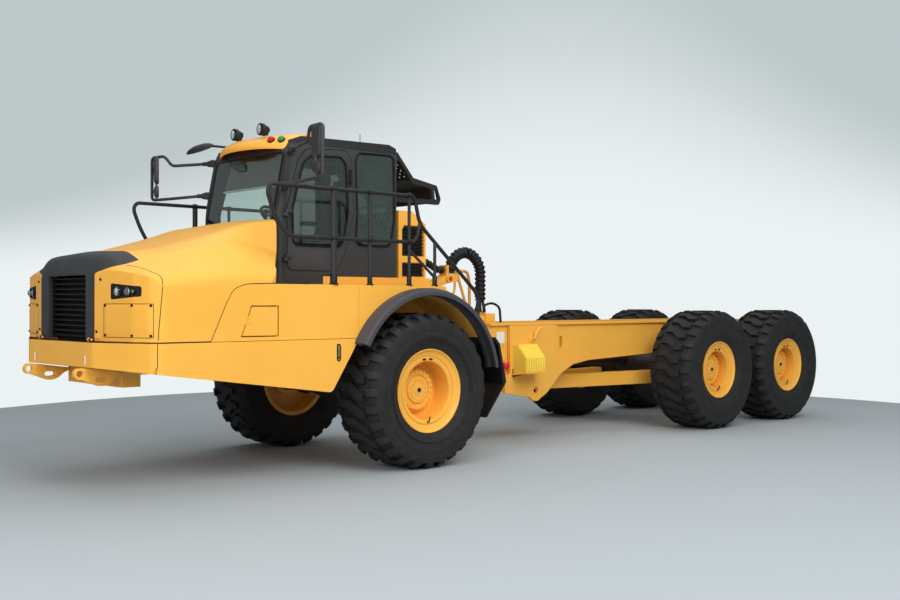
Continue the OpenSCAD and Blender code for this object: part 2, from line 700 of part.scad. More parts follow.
module hood_hollow() {
  difference() {
    intersection() {
      hood_loft(0, sill_z + 8, 0.2);
      plan(sill_z, 3000) hood_plan(0, 0);
    }
    intersection() {
      hood_loft(skin, sill_z - 50, 60);
      plan(sill_z - 60, 3000) hood_plan(skin, 600);
    }
    side(-2000, 2000) {
      grown(panel_gap) rounded(150) polygon([[600, sill_z], [fender_x, sill_z], [fender_x - 250, 2030],
        [fender_x - 400, deck_z - 10], [fender_x - 700, deck_z], [600, deck_z]]);
      polygon([[600, sill_z - 100], [fender_x + 9, sill_z - 100], [fender_x + 9, sill_z],
        [fender_x - 181, 1920],
        [600, 1920]]);
    }
  }
}
// Where the dark surround takes the place of the painted shell.
module surround_zone(g) {
  front(nose_x - 390 - g, nose_x + 20) grown(g) rounded(40) polygon([[-650, 1300], [650, 1300], [650,
    2190],
    [980, 2270], [980, 2700], [-980, 2700], [-980, 2270], [-650, 2190]]);
}
module lamp_zone(g) {
  both() front(nose_x - 430, nose_x - 20) grown(g) rounded(22)
    polygon([[905, 1925], [1335, 1955], [1335, 2050], [905, 2085]]);
}
module hood_shell() {
  color(yellow) place() difference() {
    hood_hollow();
    surround_zone(0);
    lamp_zone(0);
  }
}
module grille_surround() {
  ears = [[555, 579], [621, 645]];
  color(charcoal) place() difference() {
    union() {
      intersection() {
        hood_hollow();
        surround_zone(-seat_gap);
      }
      both() for (y = ears) {
        shaft_y(hood_hinge[0], hood_hinge[1], 20, y[0], y[1]);
        box([hood_front - 13, y[0], hood_hinge[1] - 10], [hood_hinge[0], y[1], hood_hinge[1] + 20]);
      }
    }
    front(nose_x - 330, nose_x + 70) rounded(30) box2([-450, sill_z - 100], [450, 2175]);
    shaft_y(hood_hinge[0], hood_hinge[1], hinge_pin_r + run_gap, -700, 700);
    both() box([nose_x - 130, ears[0][1], sill_z], [nose_x - 30, ears[1][0], hood_hinge[1] + 26]);
  }
}
// Tilted slats between two posts behind the surround.
module grille_slats() {
  foot = sill_z + 40;
  step = 640 / slat_count;
  color(rubber) place() {
    both() box([hood_front - skin - 70, 452, sill_z + 20], [hood_front - skin, 480, 2165]);
    for (i = [0 : slat_count - 1]) let(z = foot + step * i) side(-470, 470)
      polygon([[hood_front - skin - 60, z + 22], [hood_front - skin - 8, z], [hood_front - skin - 8,
        z + 10],
        [hood_front - skin - 60, z + 32]]);
  }
}
lamp_turn = 10.5;
module lens_discs(g) {
  for (p = [[1015, 58], [1165, 48]])
    translate([hood_front - (p[0] - 645) * tan(lamp_turn) - 16, p[0], 2004]) rotate([0, 90, lamp_turn])
      cylinder(r = p[1] + g, h = 24 + g);
}
module headlamp_housings() {
  color(rubber) place() difference() {
    intersection() {
      hood_hollow();
      lamp_zone(-seat_gap);
    }
    both() lens_discs(seat_gap);
  }
}
module headlamp_lenses() {
  color([0.9, 0.9, 0.9]) place() both() lens_discs(0);
}

// Door on a front hinge
module door_frame() {
  color(charcoal) place() difference() {
    union() {
      side(cab_y - cab_wall, cab_y + 4) door_line();
      for (z = door_hinge_z) {
        translate([door_hinge[0], door_hinge[1], z + 41]) cylinder(r = 16, h = 39);
        box([door_hinge[0] - 60, cab_y - 10, z + 41], [door_hinge[0], door_hinge[1] + 16, z + 80]);
      }
    }
    side(cab_y - cab_wall - 1, cab_y + 5) door_pane();
    side(cab_y - 16, cab_y + 5) slot([497, belt_z + 330], [497, belt_z + 480], 26);
    for (z = door_hinge_z) {
      translate([door_hinge[0], door_hinge[1], z]) cylinder(r = 8 + run_gap, h = 100);
      box([door_hinge[0] - 14, cab_y - 70, z], [door_hinge[0] + 20, cab_y + 1, z + 100]);
    }
  }
}
module door_glass() {
  color(tint) place() side(cab_y + 4, cab_y + 4 + glass) grown(20) door_pane();
}
module filler_flap() {
  color(yellow) place() difference() {
    union() {
      side(body_y - 22, body_y) polygon(flap);
      translate([flap_hinge[0], flap_hinge[1], 1580]) cylinder(r = 11, h = 255);
    }
    translate([flap_hinge[0], flap_hinge[1], 1500]) cylinder(r = 6 + run_gap, h = 500);
    side(body_y - 8, body_y + 1) intersection() {
      translate([flap_x + 345, 1700]) circle(r = 34);
      box2([flap_x + 290, 1600], [flap_x + 345, 1800]);
    }
  }
}

// Hitch

module hitch_yoke() {
  color(yellow) place() difference() {
    union() {
      translate([hitch_x, 0, hitch_z - 200]) cylinder(r = 140, h = 400);
      box([hitch_x - 380, -200, hitch_z - 180], [hitch_x, 200, hitch_z + 180]);
      shaft_x(hitch_x - 440, hitch_x - 380, 0, hitch_z, 280);
      shaft_x(hitch_x - 700, hitch_x - 400, 0, hitch_z, roll_r);
      shaft_x(hitch_x - 720, hitch_x - 697, 0, hitch_z, 260);
      both() for (z = [hitch_z - ear_gap - ear_t, hitch_z + ear_gap]) plan(z, z + ear_t) {
        translate(steer_b) circle(r = 80);
        box2([steer_b[0] - 80, 100], steer_b + [80, 0]);
      }
    }
    translate([hitch_x, 0, hitch_z - 300]) cylinder(r = pin_r + run_gap, h = 600);
    shaft_x(hitch_x - 730, hitch_x - 420, 0, hitch_z, 110);
  }
}

// Steering cylinders, each from the front frame to the yoke's ear.
module steer_frame() {
  translate([steer_a[0], steer_a[1], hitch_z]) rotate([0, 0, steer_yaw]) children();
}
module barrel() {
  color(charcoal) steer_frame() difference() {
    union() {
      translate([0, 0, 6 - ear_gap]) cylinder(r = 70, h = 2 * ear_gap - 12);
      shaft_x(40, 120, 0, 0, 40);
      shaft_x(95, steer_len - steer_half - 90, 0, 0, 68);
      shaft_x(steer_len - steer_half - 150, steer_len - steer_half - 89, 0, 0, 75);
    }
    translate([0, 0, -100]) cylinder(r = steer_pin_r + run_gap, h = 200);
    shaft_x(115, steer_len, 0, 0, steer_rod_r + run_gap);
  }
}
module rod() {
  color(steel) steer_frame() {
    shaft_x(120 + steer_half, steer_len, 0, 0, steer_rod_r);
    translate([steer_len, 0, 6 - ear_gap]) cylinder(r = 70, h = 2 * ear_gap - 12);
    translate([steer_len, 0, 0.3 - ear_gap]) cylinder(r = steer_pin_r, h = 2 * ear_gap - 0.6);
  }
}
module barrel_left() { place() barrel(); }
module barrel_right() { place() mirror([0, 1, 0]) barrel(); }
module rod_left() { place() rod(); }
module rod_right() { place() mirror([0, 1, 0]) rod(); }

// Rear frame

// Deep front end, then a rail of even depth.
module rail_face() {
  difference() {
    polygon([[frame_front_x, frame_z - 20], [frame_rear_x, frame_z - 20], [frame_rear_x, 1160], [mid_x,
      1130],
      [-4000, 1060], [-3600, 1000], [-3300, 860], [-2600, 760], [-2350, 680], [frame_front_x, 680]]);
    slot([-3395, 1290], [-3395, 1395], 30);
  }
}
module rear_frame() {
  inner = rail_y - rail_w + 60;
  color(yellow) place() difference() {
    union() {
      both() side(rail_y - rail_w, rail_y) rail_face();
      both() box([frame_rear_x, rail_y - rail_w - 20, frame_z - 30], [frame_front_x, rail_y + 40,
        frame_z]);
      both() side(rail_y - 5, rail_y + 12) polygon([[-3250, 1150], [-4000, 1085], [mid_x, 1150],
        [frame_rear_x, 1178],
        [frame_rear_x, 1162], [mid_x, 1132], [-4000, 1066], [-3600, 1010]]);
      box([frame_front_x - 240, -inner, 700], [frame_front_x, inner, frame_z - 30]);
      plan(frame_z - 70, frame_z - 30) box2([hose_rear_x - 120, hose_y - 120], [frame_front_x - 60,
        hose_y + 220]);
      box([drawbar_x - 100, -inner, 850], [drawbar_x + 110, inner, 925]);
      box([mid_x + 1450, -inner, 1240], [mid_x + 1650, inner, frame_z - 40]);
      box([frame_rear_x + 10, -inner, 1200], [frame_rear_x + 210, inner, frame_z - 40]);
      shaft_y(trunnion[0], trunnion[1], 100, -beam_out - 30, beam_out + 30);
      both() shaft_y(trunnion[0], trunnion[1], 150, beam_out + 20, beam_out + 40);
    }
    shaft_x(frame_front_x - 350, frame_front_x + 50, 0, hitch_z, roll_r + run_gap);
  }
}

// Thick side plates with a round lug for a hoist pin and a hollowed rear edge, and the tray for the
// chocks.
module hoist_lugs() {
  color(yellow) place() {
    both() difference() {
      side(rail_y + 12, rail_y + plate_t) difference() {
        union() {
          polygon(concat([[-2205, 680], [-2205, 900], [-2300, 940], [-2300, frame_z - 34], [-3250,
            frame_z - 34],
            [-3250, 1152], [-3620, 1120], [-3690, 1040]],
            smooth([[-3640, 1036], [-3350, 905], [-3200, 786], [-3060, 660], [-2940, 590]], 4),
              [[-2700, 600]]));
          translate(hoist_c) circle(r = 150);
        }
        slot([-3395, 1290], [-3395, 1395], 30);
      }
      shaft_y(hoist_c[0], hoist_c[1], hoist_bore_r, 500, rail_y + 300);
    }
    front(-2760, -2320) polygon([[rail_y + plate_t, 915], [rail_y + 330, 945], [rail_y + 330, 975],
      [rail_y + 318, 975], [rail_y + 318, 957], [rail_y + plate_t, 927]]);
  }
}

module hinge_brackets() {
  color(yellow) place() both() difference() {
    side(rail_y - rail_w, rail_y) {
      box2([hinge_c[0], hinge_c[1] - 120], [frame_rear_x, hinge_c[1] + 120]);
      translate(hinge_c) circle(r = 120);
    }
    shaft_y(hinge_c[0], hinge_c[1], hinge_bore_r, 200, 900);
  }
}

module beam_pads(x) { both() box([x - 130, beam_in - 20, axle_z], [x + 130, beam_out + 20, 1065]); }
module mid_axle() {
  color(charcoal) place() {
    axle_beam(mid_x);
    beam_pads(mid_x);
    shaft_x(mid_x + 200, mid_x + 350, 0, hitch_z, 110);
    shaft_x(mid_x - 350, mid_x - 200, 0, axle_z, 90);
    both() box([mid_x - 110, 450, 655], [mid_x + 190, 670, axle_z]);
  }
}
module rear_axle() {
  color(charcoal) place() {
    axle_beam(rear_x);
    beam_pads(rear_x);
    shaft_x(rear_x + 200, rear_x + 350, 0, axle_z, 90);
  }
}

// Two box beams that spread from a ball joint under the frame to the middle axle.
module drawbar() {
  foot = mid_x + 190 + seat_gap;
  color(yellow) place() {
    both() plan(650, 845) polygon([[foot, 470], [foot, 660], [drawbar_x - 40, 175], [drawbar_x - 40,
      -15]]);
    box([drawbar_x - 100, -180, 650], [drawbar_x + 100, 180, 850 - seat_gap]);
  }
}

module walking_beams() {
  m = trunnion[0];
  h = tandem / 2;
  color(yellow) place() both() difference() {
    side(beam_in, beam_out) polygon([[m + h + 130, 1065], [m + h - 130, 1065], [m + h - 200, 1130], [m,
      1150],
      [m - h + 200, 1130], [m - h + 130, 1065], [m - h - 130, 1065], [m - h - 130, 1190], [m - 200, 1380],
      [m + 200, 1380], [m + h + 130, 1190]]);
    shaft_y(m, trunnion[1], 100 + seat_gap, 200, 1400);
  }
}

module propshafts() {
  color(charcoal) place() {
    shaft_x(mid_x + 350, hitch_x - 500, 0, hitch_z, 60);
    shaft_x(rear_x + 350, mid_x - 350, 0, axle_z, 60);
  }
}

// A pair of ribbed wedges on their tray.
module chocks() {
  y0 = rail_y + plate_t;
  h = 955;
  color([0.95, 0.85, 0.2]) place() for (x = [-2530, -2720]) {
    front(x, x + 184) polygon([[y0, h - 28], [y0 + 240, h], [y0 + 250, h + 195], [y0 + 95, h + 370],
      [y0, h + 370]]);
    for (i = [0 : 3]) front(x + 10 + 46 * i, x + 34 + 46 * i)
      polygon([[y0 + 245, h + 20], [y0 + 256, h + 20], [y0 + 262, h + 200], [y0 + 102, h + 380],
        [y0 + 90, h + 365]]);
  }
}

// Manifold on the rear frame where the bundle ends.
module hose_block() {
  color(yellow) place() {
    box([hose_rear_x - 90, hose_y - 100, frame_z - 30], [hose_rear_x + 90, hose_y + 200,
      hose_foot_z - 20]);
    translate([hose_rear_x, hose_y, hose_foot_z - 21]) cylinder(r = hose_r + 16, h = 21 - seat_gap);
    shaft_x(hose_rear_x + 88, hose_rear_x + 120, hose_y + 130, frame_z + 50, 50);
  }
}

// A hose swept with twelve sides along a route of [x, z] points at the hoses' place across the machine.
module hose(route, r) {
  n = len(route);
  sides = 12;
  along = [for (i = [0 : n - 1]) route[min(i + 1, n - 1)] - route[max(i - 1, 0)]];
  rings = [for (i = [0 : n - 1]) let(a = atan2(along[i][1], along[i][0])) for (k = [0 : sides - 1])
    let(b = 360 * k / sides)
    [route[i][0] - r * sin(a) * cos(b), hose_y + r * sin(b), route[i][1] + r * cos(a) * cos(b)]];
  walls = [for (i = [0 : n - 2]) for (k = [0 : sides - 1])
    let(p = i * sides + k, q = i * sides + (k + 1) % sides)
    each [[p, q, q + sides], [p, q + sides, p + sides]]];
  caps = [[for (k = [sides - 1 : -1 : 0]) k], [for (k = [0 : sides - 1]) (n - 1) * sides + k]];
  polyhedron(rings, concat(walls, caps));
}

// Sleeved hose bundle: out of the tower to its rest, then in an arch over the hitch to the rear frame.
module hose_loop() {
  lead = 10;
  color(rubber) place() {
    hose([[-725 - seat_gap, 2545], [-900, 2545], [-1300, hose_rest_z + 140], [-1460, hose_rest_z + 55],
      [hose_front_x + hose_r + 58 + seat_gap, hose_rest_z + 55]], 42);
    hose(concat([[hose_front_x, hose_rest_z]], [for (a = [0 : 15 : 180])
      [hose_front_x - hose_bend_r * (1 - cos(a)), hose_rest_z + lead + hose_bend_r * sin(a)]],
      [[hose_rear_x, hose_foot_z]]), hose_r);
  }
}

// Wheels

// Tyre section as radius and place across the wheel, with its tread cut down by a depth.
module tyre_section(rim_r, cut) {
  h = tyre_w / 2;
  shoulder = tyre_r - 32;
  polygon([[rim_r + seat_gap, -300], [rim_r + 50, -325], [rim_r + 120, -h + 12], [tyre_r - 240, -h],
    [tyre_r - 140, -h],
    [tyre_r - 75, -h + 14], [shoulder - 0.8 * cut, -h + 45], [tyre_r - cut, -h + 110], [tyre_r - cut,
      h - 110],
    [shoulder - 0.8 * cut, h - 45], [tyre_r - 75, h - 14], [tyre_r - 140, h], [tyre_r - 240, h],
      [rim_r + 120, h - 12],
    [rim_r + 50, 325], [rim_r + seat_gap, 300]]);
}
// Outlines of a middle lug and a shoulder lug, as place across the tread and place along it.
mid_lug = [[-190, 30], [-70, 30], [70, -75], [190, -75], [190, 15], [100, 15], [-40, 120], [-190, 120]];
edge_lug = [[235, -15], [390, -15], [390, 75], [235, 65]];
module lug(outline) {
  translate([tyre_r - 110, 0, 0]) rotate([0, 90, 0]) linear_extrude(200)
    polygon([for (p = outline) [-p[0], -p[1]]]);
}
module tyre(rim_r) {
  color(rubber) rotate([-90, 0, 0]) {
    rotate_extrude($fn = 96) tyre_section(rim_r, lug_h);
    intersection() {
      rotate_extrude($fn = 96) tyre_section(rim_r, 0);
      for (i = [0 : lug_count - 1]) rotate([0, 0, 90 + i * 360 / lug_count]) {
        lug(mid_lug);
        lug(edge_lug);
        lug([for (p = edge_lug) -p]);
      }
    }
  }
}
// Rim with a flange, a stepped face, a deep dish and the hub reduction's housing.
rim_face = 310;
module rim(rim_r, dish) {
  f = rim_face - dish;
  mouth = rim_r - 142;
  color(yellow) rotate([-90, 0, 0]) rotate_extrude($fn = 96) polygon([
    [spindle_r + run_gap, -140], [210, -140], [210, -60], [mouth - 30, -40], [rim_r - 70, -60],
      [rim_r - 50, -300],
    [rim_r, -300], [rim_r, rim_face], [rim_r - 14, rim_face], [rim_r - 18, rim_face - 12],
    [rim_r - 40, rim_face - 30], [rim_r - 78, rim_face - 40], [rim_r - 84, rim_face - 54], [rim_r - 96,
      rim_face - 54],
    [rim_r - 102, rim_face - 40], [mouth, rim_face - 48], [mouth - 2, rim_face - 70], [mouth + 8, f - 60],
    [mouth - 6, f - 100], [262, f - 104], [258, f - 70], [236, f - 58], [233, f - 22], [200, f - 16],
    [178, f - 14], [172, f - 30], [160, f - 30], [154, f - 8], [135, f], [64, f], [60, f + 8], [0,
      f + 8], [0, 40],
    [spindle_r + run_gap, 40]]);
}
module left_wheel(x) { place() translate([x, wheel_y, axle_z]) children(); }
module right_wheel(x) { place() mirror([0, 1, 0]) translate([x, wheel_y, axle_z]) children(); }
front_dish = 200;
rear_dish = 146;
module tyre_front_left() { left_wheel(0) tyre(rim_front_r); }
module tyre_front_right() { right_wheel(0) tyre(rim_front_r); }
module tyre_mid_left() { left_wheel(mid_x) tyre(rim_rear_r); }
module tyre_mid_right() { right_wheel(mid_x) tyre(rim_rear_r); }
module tyre_rear_left() { left_wheel(rear_x) tyre(rim_rear_r); }
module tyre_rear_right() { right_wheel(rear_x) tyre(rim_rear_r); }
module rim_front_left() { left_wheel(0) rim(rim_front_r, front_dish); }
module rim_front_right() { right_wheel(0) rim(rim_front_r, front_dish); }
module rim_mid_left() { left_wheel(mid_x) rim(rim_rear_r, rear_dish); }
module rim_mid_right() { right_wheel(mid_x) rim(rim_rear_r, rear_dish); }
module rim_rear_left() { left_wheel(rear_x) rim(rim_rear_r, rear_dish); }
module rim_rear_right() { right_wheel(rear_x) rim(rim_rear_r, rear_dish); }

front_frame();
carriers();
front_axle();
engine_block();
radiator();
bumper();
tow_lugs();
fenders();
arch_trims();
ladders();
cab_base();
cab_shell();
cab_roof();
cab_glass();
cab_visor();
cab_guard();
operator_station();
rear_tower();
handrails();
mirrors();
roof_lamps();
hood_shell();
grille_surround();
grille_slats();
headlamp_housings();
headlamp_lenses();
door_frame();
door_glass();
filler_flap();
hitch_yoke();
rear_frame();
hoist_lugs();
hinge_brackets();
mid_axle();
rear_axle();
drawbar();
walking_beams();
propshafts();
chocks();
hose_block();
hose_loop();
barrel_left();
barrel_right();
rod_left();
rod_right();
tyre_front_left();
tyre_front_right();
tyre_mid_left();
tyre_mid_right();
tyre_rear_left();
tyre_rear_right();
rim_front_left();
rim_front_right();
rim_mid_left();
rim_mid_right();
rim_rear_left();
rim_rear_right();
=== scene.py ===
# %% [markdown]
# # Bare chassis of an articulated hauler
# A six-wheel hauler that bends in the middle, seen before its dump body is fitted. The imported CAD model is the
# frame: its solids keep their places and sizes. This lesson gives them finishes and soft edges, and adds the pieces
# that are too fine for CAD. All lengths are in metres, +X is forward, +Y is the machine's left and +Z is up.

# %% Load the frame
import json
import math

import bmesh
import bpy
from mathutils import Matrix, Vector
from mathutils.bvhtree import BVHTree


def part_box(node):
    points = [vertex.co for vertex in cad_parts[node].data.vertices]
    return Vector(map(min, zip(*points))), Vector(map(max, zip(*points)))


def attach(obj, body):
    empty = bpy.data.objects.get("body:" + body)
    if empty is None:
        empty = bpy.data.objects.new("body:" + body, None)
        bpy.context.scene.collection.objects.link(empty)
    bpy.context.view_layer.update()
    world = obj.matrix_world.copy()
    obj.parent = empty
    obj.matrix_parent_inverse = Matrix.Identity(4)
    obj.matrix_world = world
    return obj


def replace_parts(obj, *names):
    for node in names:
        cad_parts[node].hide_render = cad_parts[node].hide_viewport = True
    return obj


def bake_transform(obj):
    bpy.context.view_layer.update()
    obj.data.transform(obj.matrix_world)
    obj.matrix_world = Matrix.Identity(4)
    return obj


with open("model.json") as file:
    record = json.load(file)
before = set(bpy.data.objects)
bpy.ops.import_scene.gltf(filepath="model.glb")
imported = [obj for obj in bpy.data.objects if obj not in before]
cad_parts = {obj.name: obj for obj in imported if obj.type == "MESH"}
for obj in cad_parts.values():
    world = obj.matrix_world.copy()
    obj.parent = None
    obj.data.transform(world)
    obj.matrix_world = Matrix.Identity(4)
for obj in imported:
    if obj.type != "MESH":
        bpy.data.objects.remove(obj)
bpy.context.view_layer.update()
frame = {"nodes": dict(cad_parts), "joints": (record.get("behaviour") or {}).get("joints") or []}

nodes = frame["nodes"]
joints = {joint["name"]: joint for joint in frame["joints"]}
FRONT_AXLE = joints["wheel_front_left_turn"]["pos_m"][0]
X, Y, Z = Vector((1, 0, 0)), Vector((0, 1, 0)), Vector((0, 0, 1))
BOTH_SIDES = (1, -1)


def spot(x, y, z):
    return Vector((FRONT_AXLE + x, y, z))        # x is counted from the front axle


# %% [markdown]
# ## Camera
# The photograph was taken from the machine's front left, a little above wheel height. Fitting a camera to all six
# wheels gave its place, its heading and a lens of about 43 mm, so no shift is needed.

# %% Camera
IMAGE_WIDTH, FOCAL_PIXELS, SENSOR_MM = 900.0, 1087.3, 36.0
HEADING, PITCH = 3.965, 0.003
camera = bpy.data.objects.new("photo_camera", bpy.data.cameras.new("photo_camera"))
bpy.context.collection.objects.link(camera)
camera.location = spot(8.268, 10.907, 1.890)
look = Vector((math.cos(HEADING) * math.cos(PITCH), math.sin(HEADING) * math.cos(PITCH), math.sin(PITCH)))
camera.rotation_euler = look.to_track_quat("-Z", "Y").to_euler()
camera.data.sensor_width = SENSOR_MM
camera.data.lens = SENSOR_MM * FOCAL_PIXELS / IMAGE_WIDTH
camera.data.clip_end = 200.0
bpy.context.scene.camera = camera
bpy.context.scene.view_settings.view_transform = "Standard"      # a colour shows as its hex value says
print("camera: lens %.1f mm" % camera.data.lens)

# %% [markdown]
# ## Finishes
# Each finish starts from the real material. One function turns sRGB hex values into Blender's linear colours, and
# one function adds a shader node with its settings and links. A pattern's scale is given as a size in millimetres.

# %% Helpers for finishes
def linear(hex_colour):
    parts = [int(hex_colour[i:i + 2], 16) / 255.0 for i in (1, 3, 5)]
    return [p / 12.92 if p <= 0.04045 else ((p + 0.055) / 1.055) ** 2.4 for p in parts] + [1.0]


def wire(node, sockets):
    """Link each input that is given a socket, and set the others to their constant."""
    for name, value in sockets.items():
        if isinstance(value, bpy.types.NodeSocket):
            node.id_data.links.new(value, node.inputs[name])
        else:
            node.inputs[name].default_value = value


def put(tree, kind, sockets=None, out=0, **settings):
    """Add a node with its settings and links, and hand back one of its outputs."""
    made = tree.nodes.new(kind)
    for key, value in settings.items():
        setattr(made, key, value)
    wire(made, sockets or {})
    return made.outputs[out] if made.outputs else None


def new_finish(name, colour, rough, **constants):
    finish = bpy.data.materials.new(name)
    finish.use_nodes = True
    finish.diffuse_color = linear(colour)
    bsdf = finish.node_tree.nodes["Principled BSDF"]
    wire(bsdf, {"Base Color": linear(colour), "Roughness": rough})
    wire(bsdf, {socket.replace("_", " "): value for socket, value in constants.items()})
    return finish, finish.node_tree, bsdf


def per_mm(size_mm):
    return 1000.0 / size_mm                      # pattern scale for one repeat per size_mm


# %% [markdown]
# ### Sprayed machine enamel
# The body is sheet and plate steel, primed and sprayed with a yellow machine enamel, then baked. The eye sees an
# even colour, a soft gloss and the faint orange peel that a spray gun leaves. Real orange peel is 1 to 3 mm across,
# too fine for this distance, so it is drawn at 14 mm.

# %% Sprayed machine enamel
def sprayed_enamel(name, main, shade, rough, peel):
    finish, tree, bsdf = new_finish(name, main, rough, IOR=1.5, Specular_IOR_Level=0.25, Coat_Weight=0.06,
                                    Coat_Roughness=0.2)
    where = put(tree, "ShaderNodeTexCoord", out="Object")
    cloud = put(tree, "ShaderNodeTexNoise", {"Vector": where, "Scale": per_mm(900), "Detail": 3.0})
    ramp = put(tree, "ShaderNodeMapRange", {"Value": cloud, "From Min": 0.3, "From Max": 0.7})
    tint = put(tree, "ShaderNodeMix", {"Factor": ramp, "A": linear(main), "B": linear(shade)}, "Result",
               data_type="RGBA")
    gloss = put(tree, "ShaderNodeMapRange", {"Value": cloud, "To Min": rough - 0.05, "To Max": rough + 0.06})
    orange_peel = put(tree, "ShaderNodeTexNoise", {"Vector": where, "Scale": per_mm(14), "Detail": 1.0})
    bump = put(tree, "ShaderNodeBump", {"Height": orange_peel, "Strength": peel, "Distance": 0.002})
    wire(bsdf, {"Base Color": tint, "Roughness": gloss, "Normal": bump})
    return finish


yellow_enamel = sprayed_enamel("sprayed_enamel_yellow", "#F9B84C", "#F2B045", 0.4, 0.05)
barrel_enamel = sprayed_enamel("sprayed_enamel_black", "#1C1D20", "#17181A", 0.34, 0.05)
red_paint = sprayed_enamel("sprayed_enamel_red", "#CF2A30", "#C2242A", 0.35, 0.03)
print("enamels made")

# %% [markdown]
# ### Powder coat on steel
# The cab, the rails and the mirrors are steel under a charcoal powder coat. The powder melts into a satin skin with
# a fine pebble, about 1 mm across, drawn at 5 mm so that it shows. Edges take a lighter colour as a painted highlight,
# for the little more light that they catch than faces.

# %% Powder coat on steel
def powder_coat(name, colour, edge_highlight_colour, rough):
    finish, tree, bsdf = new_finish(name, colour, rough, IOR=1.5, Specular_IOR_Level=0.3)
    where = put(tree, "ShaderNodeTexCoord", out="Object")
    pebble = put(tree, "ShaderNodeTexNoise", {"Vector": where, "Scale": per_mm(5), "Detail": 2.0})
    bump = put(tree, "ShaderNodeBump", {"Height": pebble, "Strength": 0.12, "Distance": 0.001})
    # Painted highlight: where pointiness marks an edge, the coat turns to its lighter edge colour.
    edge = put(tree, "ShaderNodeNewGeometry", out="Pointiness")
    painted_edge_highlight = put(tree, "ShaderNodeMapRange", {"Value": edge, "From Min": 0.51, "From Max": 0.58})
    tint = put(tree, "ShaderNodeMix", {"Factor": painted_edge_highlight, "A": linear(colour), "B": linear(edge_highlight_colour)}, "Result",
               data_type="RGBA")
    gloss = put(tree, "ShaderNodeMapRange", {"Value": pebble, "To Min": rough - 0.06, "To Max": rough + 0.08})
    wire(bsdf, {"Base Color": tint, "Roughness": gloss, "Normal": bump})
    return finish


# The third colour of each coat is the lighter colour of its painted edge highlight.
charcoal_coat = powder_coat("powder_coat_charcoal", "#303133", "#434446", 0.5)
black_coat = powder_coat("powder_coat_black", "#1D1E20", "#2D2E31", 0.55)
print("powder coats made")

# %% [markdown]
# ### Moulded polymer
# The grille surround, the arch lips and the flaps are moulded polypropylene and rubber sheet. The mould is etched
# with a leather-like grain of about 2 mm, drawn at 8 mm, which scatters the highlight. Finer and coarser grains of
# the same kind stand for the other polymers, and for the dull anodised skin of the blank plates.

# %% Moulded polymer
def moulded_polymer(name, colour, rough, grain_mm, depth):
    finish, tree, bsdf = new_finish(name, colour, rough, IOR=1.49, Specular_IOR_Level=0.3)
    where = put(tree, "ShaderNodeTexCoord", out="Object")
    cells = put(tree, "ShaderNodeTexVoronoi", {"Vector": where, "Scale": per_mm(grain_mm)})
    drift = put(tree, "ShaderNodeTexNoise", {"Vector": where, "Scale": per_mm(260), "Detail": 4.0})
    gloss = put(tree, "ShaderNodeMapRange", {"Value": drift, "From Min": 0.3, "From Max": 0.7,
                                             "To Min": rough - 0.07, "To Max": rough + 0.07})
    bump = put(tree, "ShaderNodeBump", {"Height": cells, "Strength": depth, "Distance": 0.001})
    wire(bsdf, {"Roughness": gloss, "Normal": bump})
    return finish


surround_plastic = moulded_polymer("moulded_polypropylene_charcoal", "#37383A", 0.5, 8, 0.15)
lip_rubber = moulded_polymer("moulded_rubber_lip", "#454449", 0.5, 10, 0.2)
black_plastic = moulded_polymer("moulded_polyamide_black", "#161718", 0.5, 6, 0.2)
chock_plastic = moulded_polymer("moulded_polyethylene_yellow", "#FADB57", 0.42, 9, 0.12)
dash_plastic = moulded_polymer("moulded_abs_dash", "#393C40", 0.55, 5, 0.3)
# This near-black rubber also paints the shade of the sheet behind the grille.
gasket_and_shade_black = moulded_polymer("epdm_gasket_and_painted_shade", "#060607", 0.6, 7, 0.1)
blank_plate = moulded_polymer("anodised_blank_plate", "#E9EAE6", 0.4, 14, 0.03)
seam_shadow = moulded_polymer("panel_gap_shadow", "#2E1E0C", 0.8, 10, 0.05)
print("polymers made")

# %% [markdown]
# ### Vulcanised tyre rubber
# A tyre is cured in a steel mould, so its face is smooth but not glossy. Carbon black makes it nearly black, and a
# dry bloom of wax greys the lug tops. The bloom is cloudy at about 120 mm and speckled at about 6 mm.

# %% Vulcanised tyre rubber
def vulcanised_rubber(name, colour, bloom, rough):
    finish, tree, bsdf = new_finish(name, colour, rough, IOR=1.52, Specular_IOR_Level=0.2)
    where = put(tree, "ShaderNodeTexCoord", out="Object")
    cloud = put(tree, "ShaderNodeTexNoise", {"Vector": where, "Scale": per_mm(120), "Detail": 5.0})
    ramp = put(tree, "ShaderNodeMapRange", {"Value": cloud, "From Min": 0.35, "From Max": 0.7})
    tint = put(tree, "ShaderNodeMix", {"Factor": ramp, "A": linear(colour), "B": linear(bloom)}, "Result",
               data_type="RGBA")
    speckle = put(tree, "ShaderNodeTexNoise", {"Vector": where, "Scale": per_mm(6), "Detail": 3.0})
    bump = put(tree, "ShaderNodeBump", {"Height": speckle, "Strength": 0.15, "Distance": 0.0015})
    wire(bsdf, {"Base Color": tint, "Normal": bump})
    return finish


tyre_rubber = vulcanised_rubber("vulcanised_tyre_rubber", "#252525", "#2E2D2D", 0.65)
hose_rubber = vulcanised_rubber("extruded_hose_rubber", "#17181A", "#232427", 0.45)
print("rubbers made")

# %% [markdown]
# ### Castings and bare metal
# Axles and the engine are iron castings under a thin dark paint, with the coarse skin that sand leaves, about
# 3 mm, drawn at 12 mm. Piston rods are hard chrome, bolts are zinc plated, and lamp bowls are plastic with a film
# of aluminium.

# %% Castings and bare metal
def rippled(name, colour, rough, ripple_mm, detail, strength, **constants):
    finish, tree, bsdf = new_finish(name, colour, rough, **constants)
    where = put(tree, "ShaderNodeTexCoord", out="Object")
    ripple = put(tree, "ShaderNodeTexNoise", {"Vector": where, "Scale": per_mm(ripple_mm), "Detail": detail})
    wire(bsdf, {"Normal": put(tree, "ShaderNodeBump", {"Height": ripple, "Strength": strength, "Distance": 0.002})})
    return finish


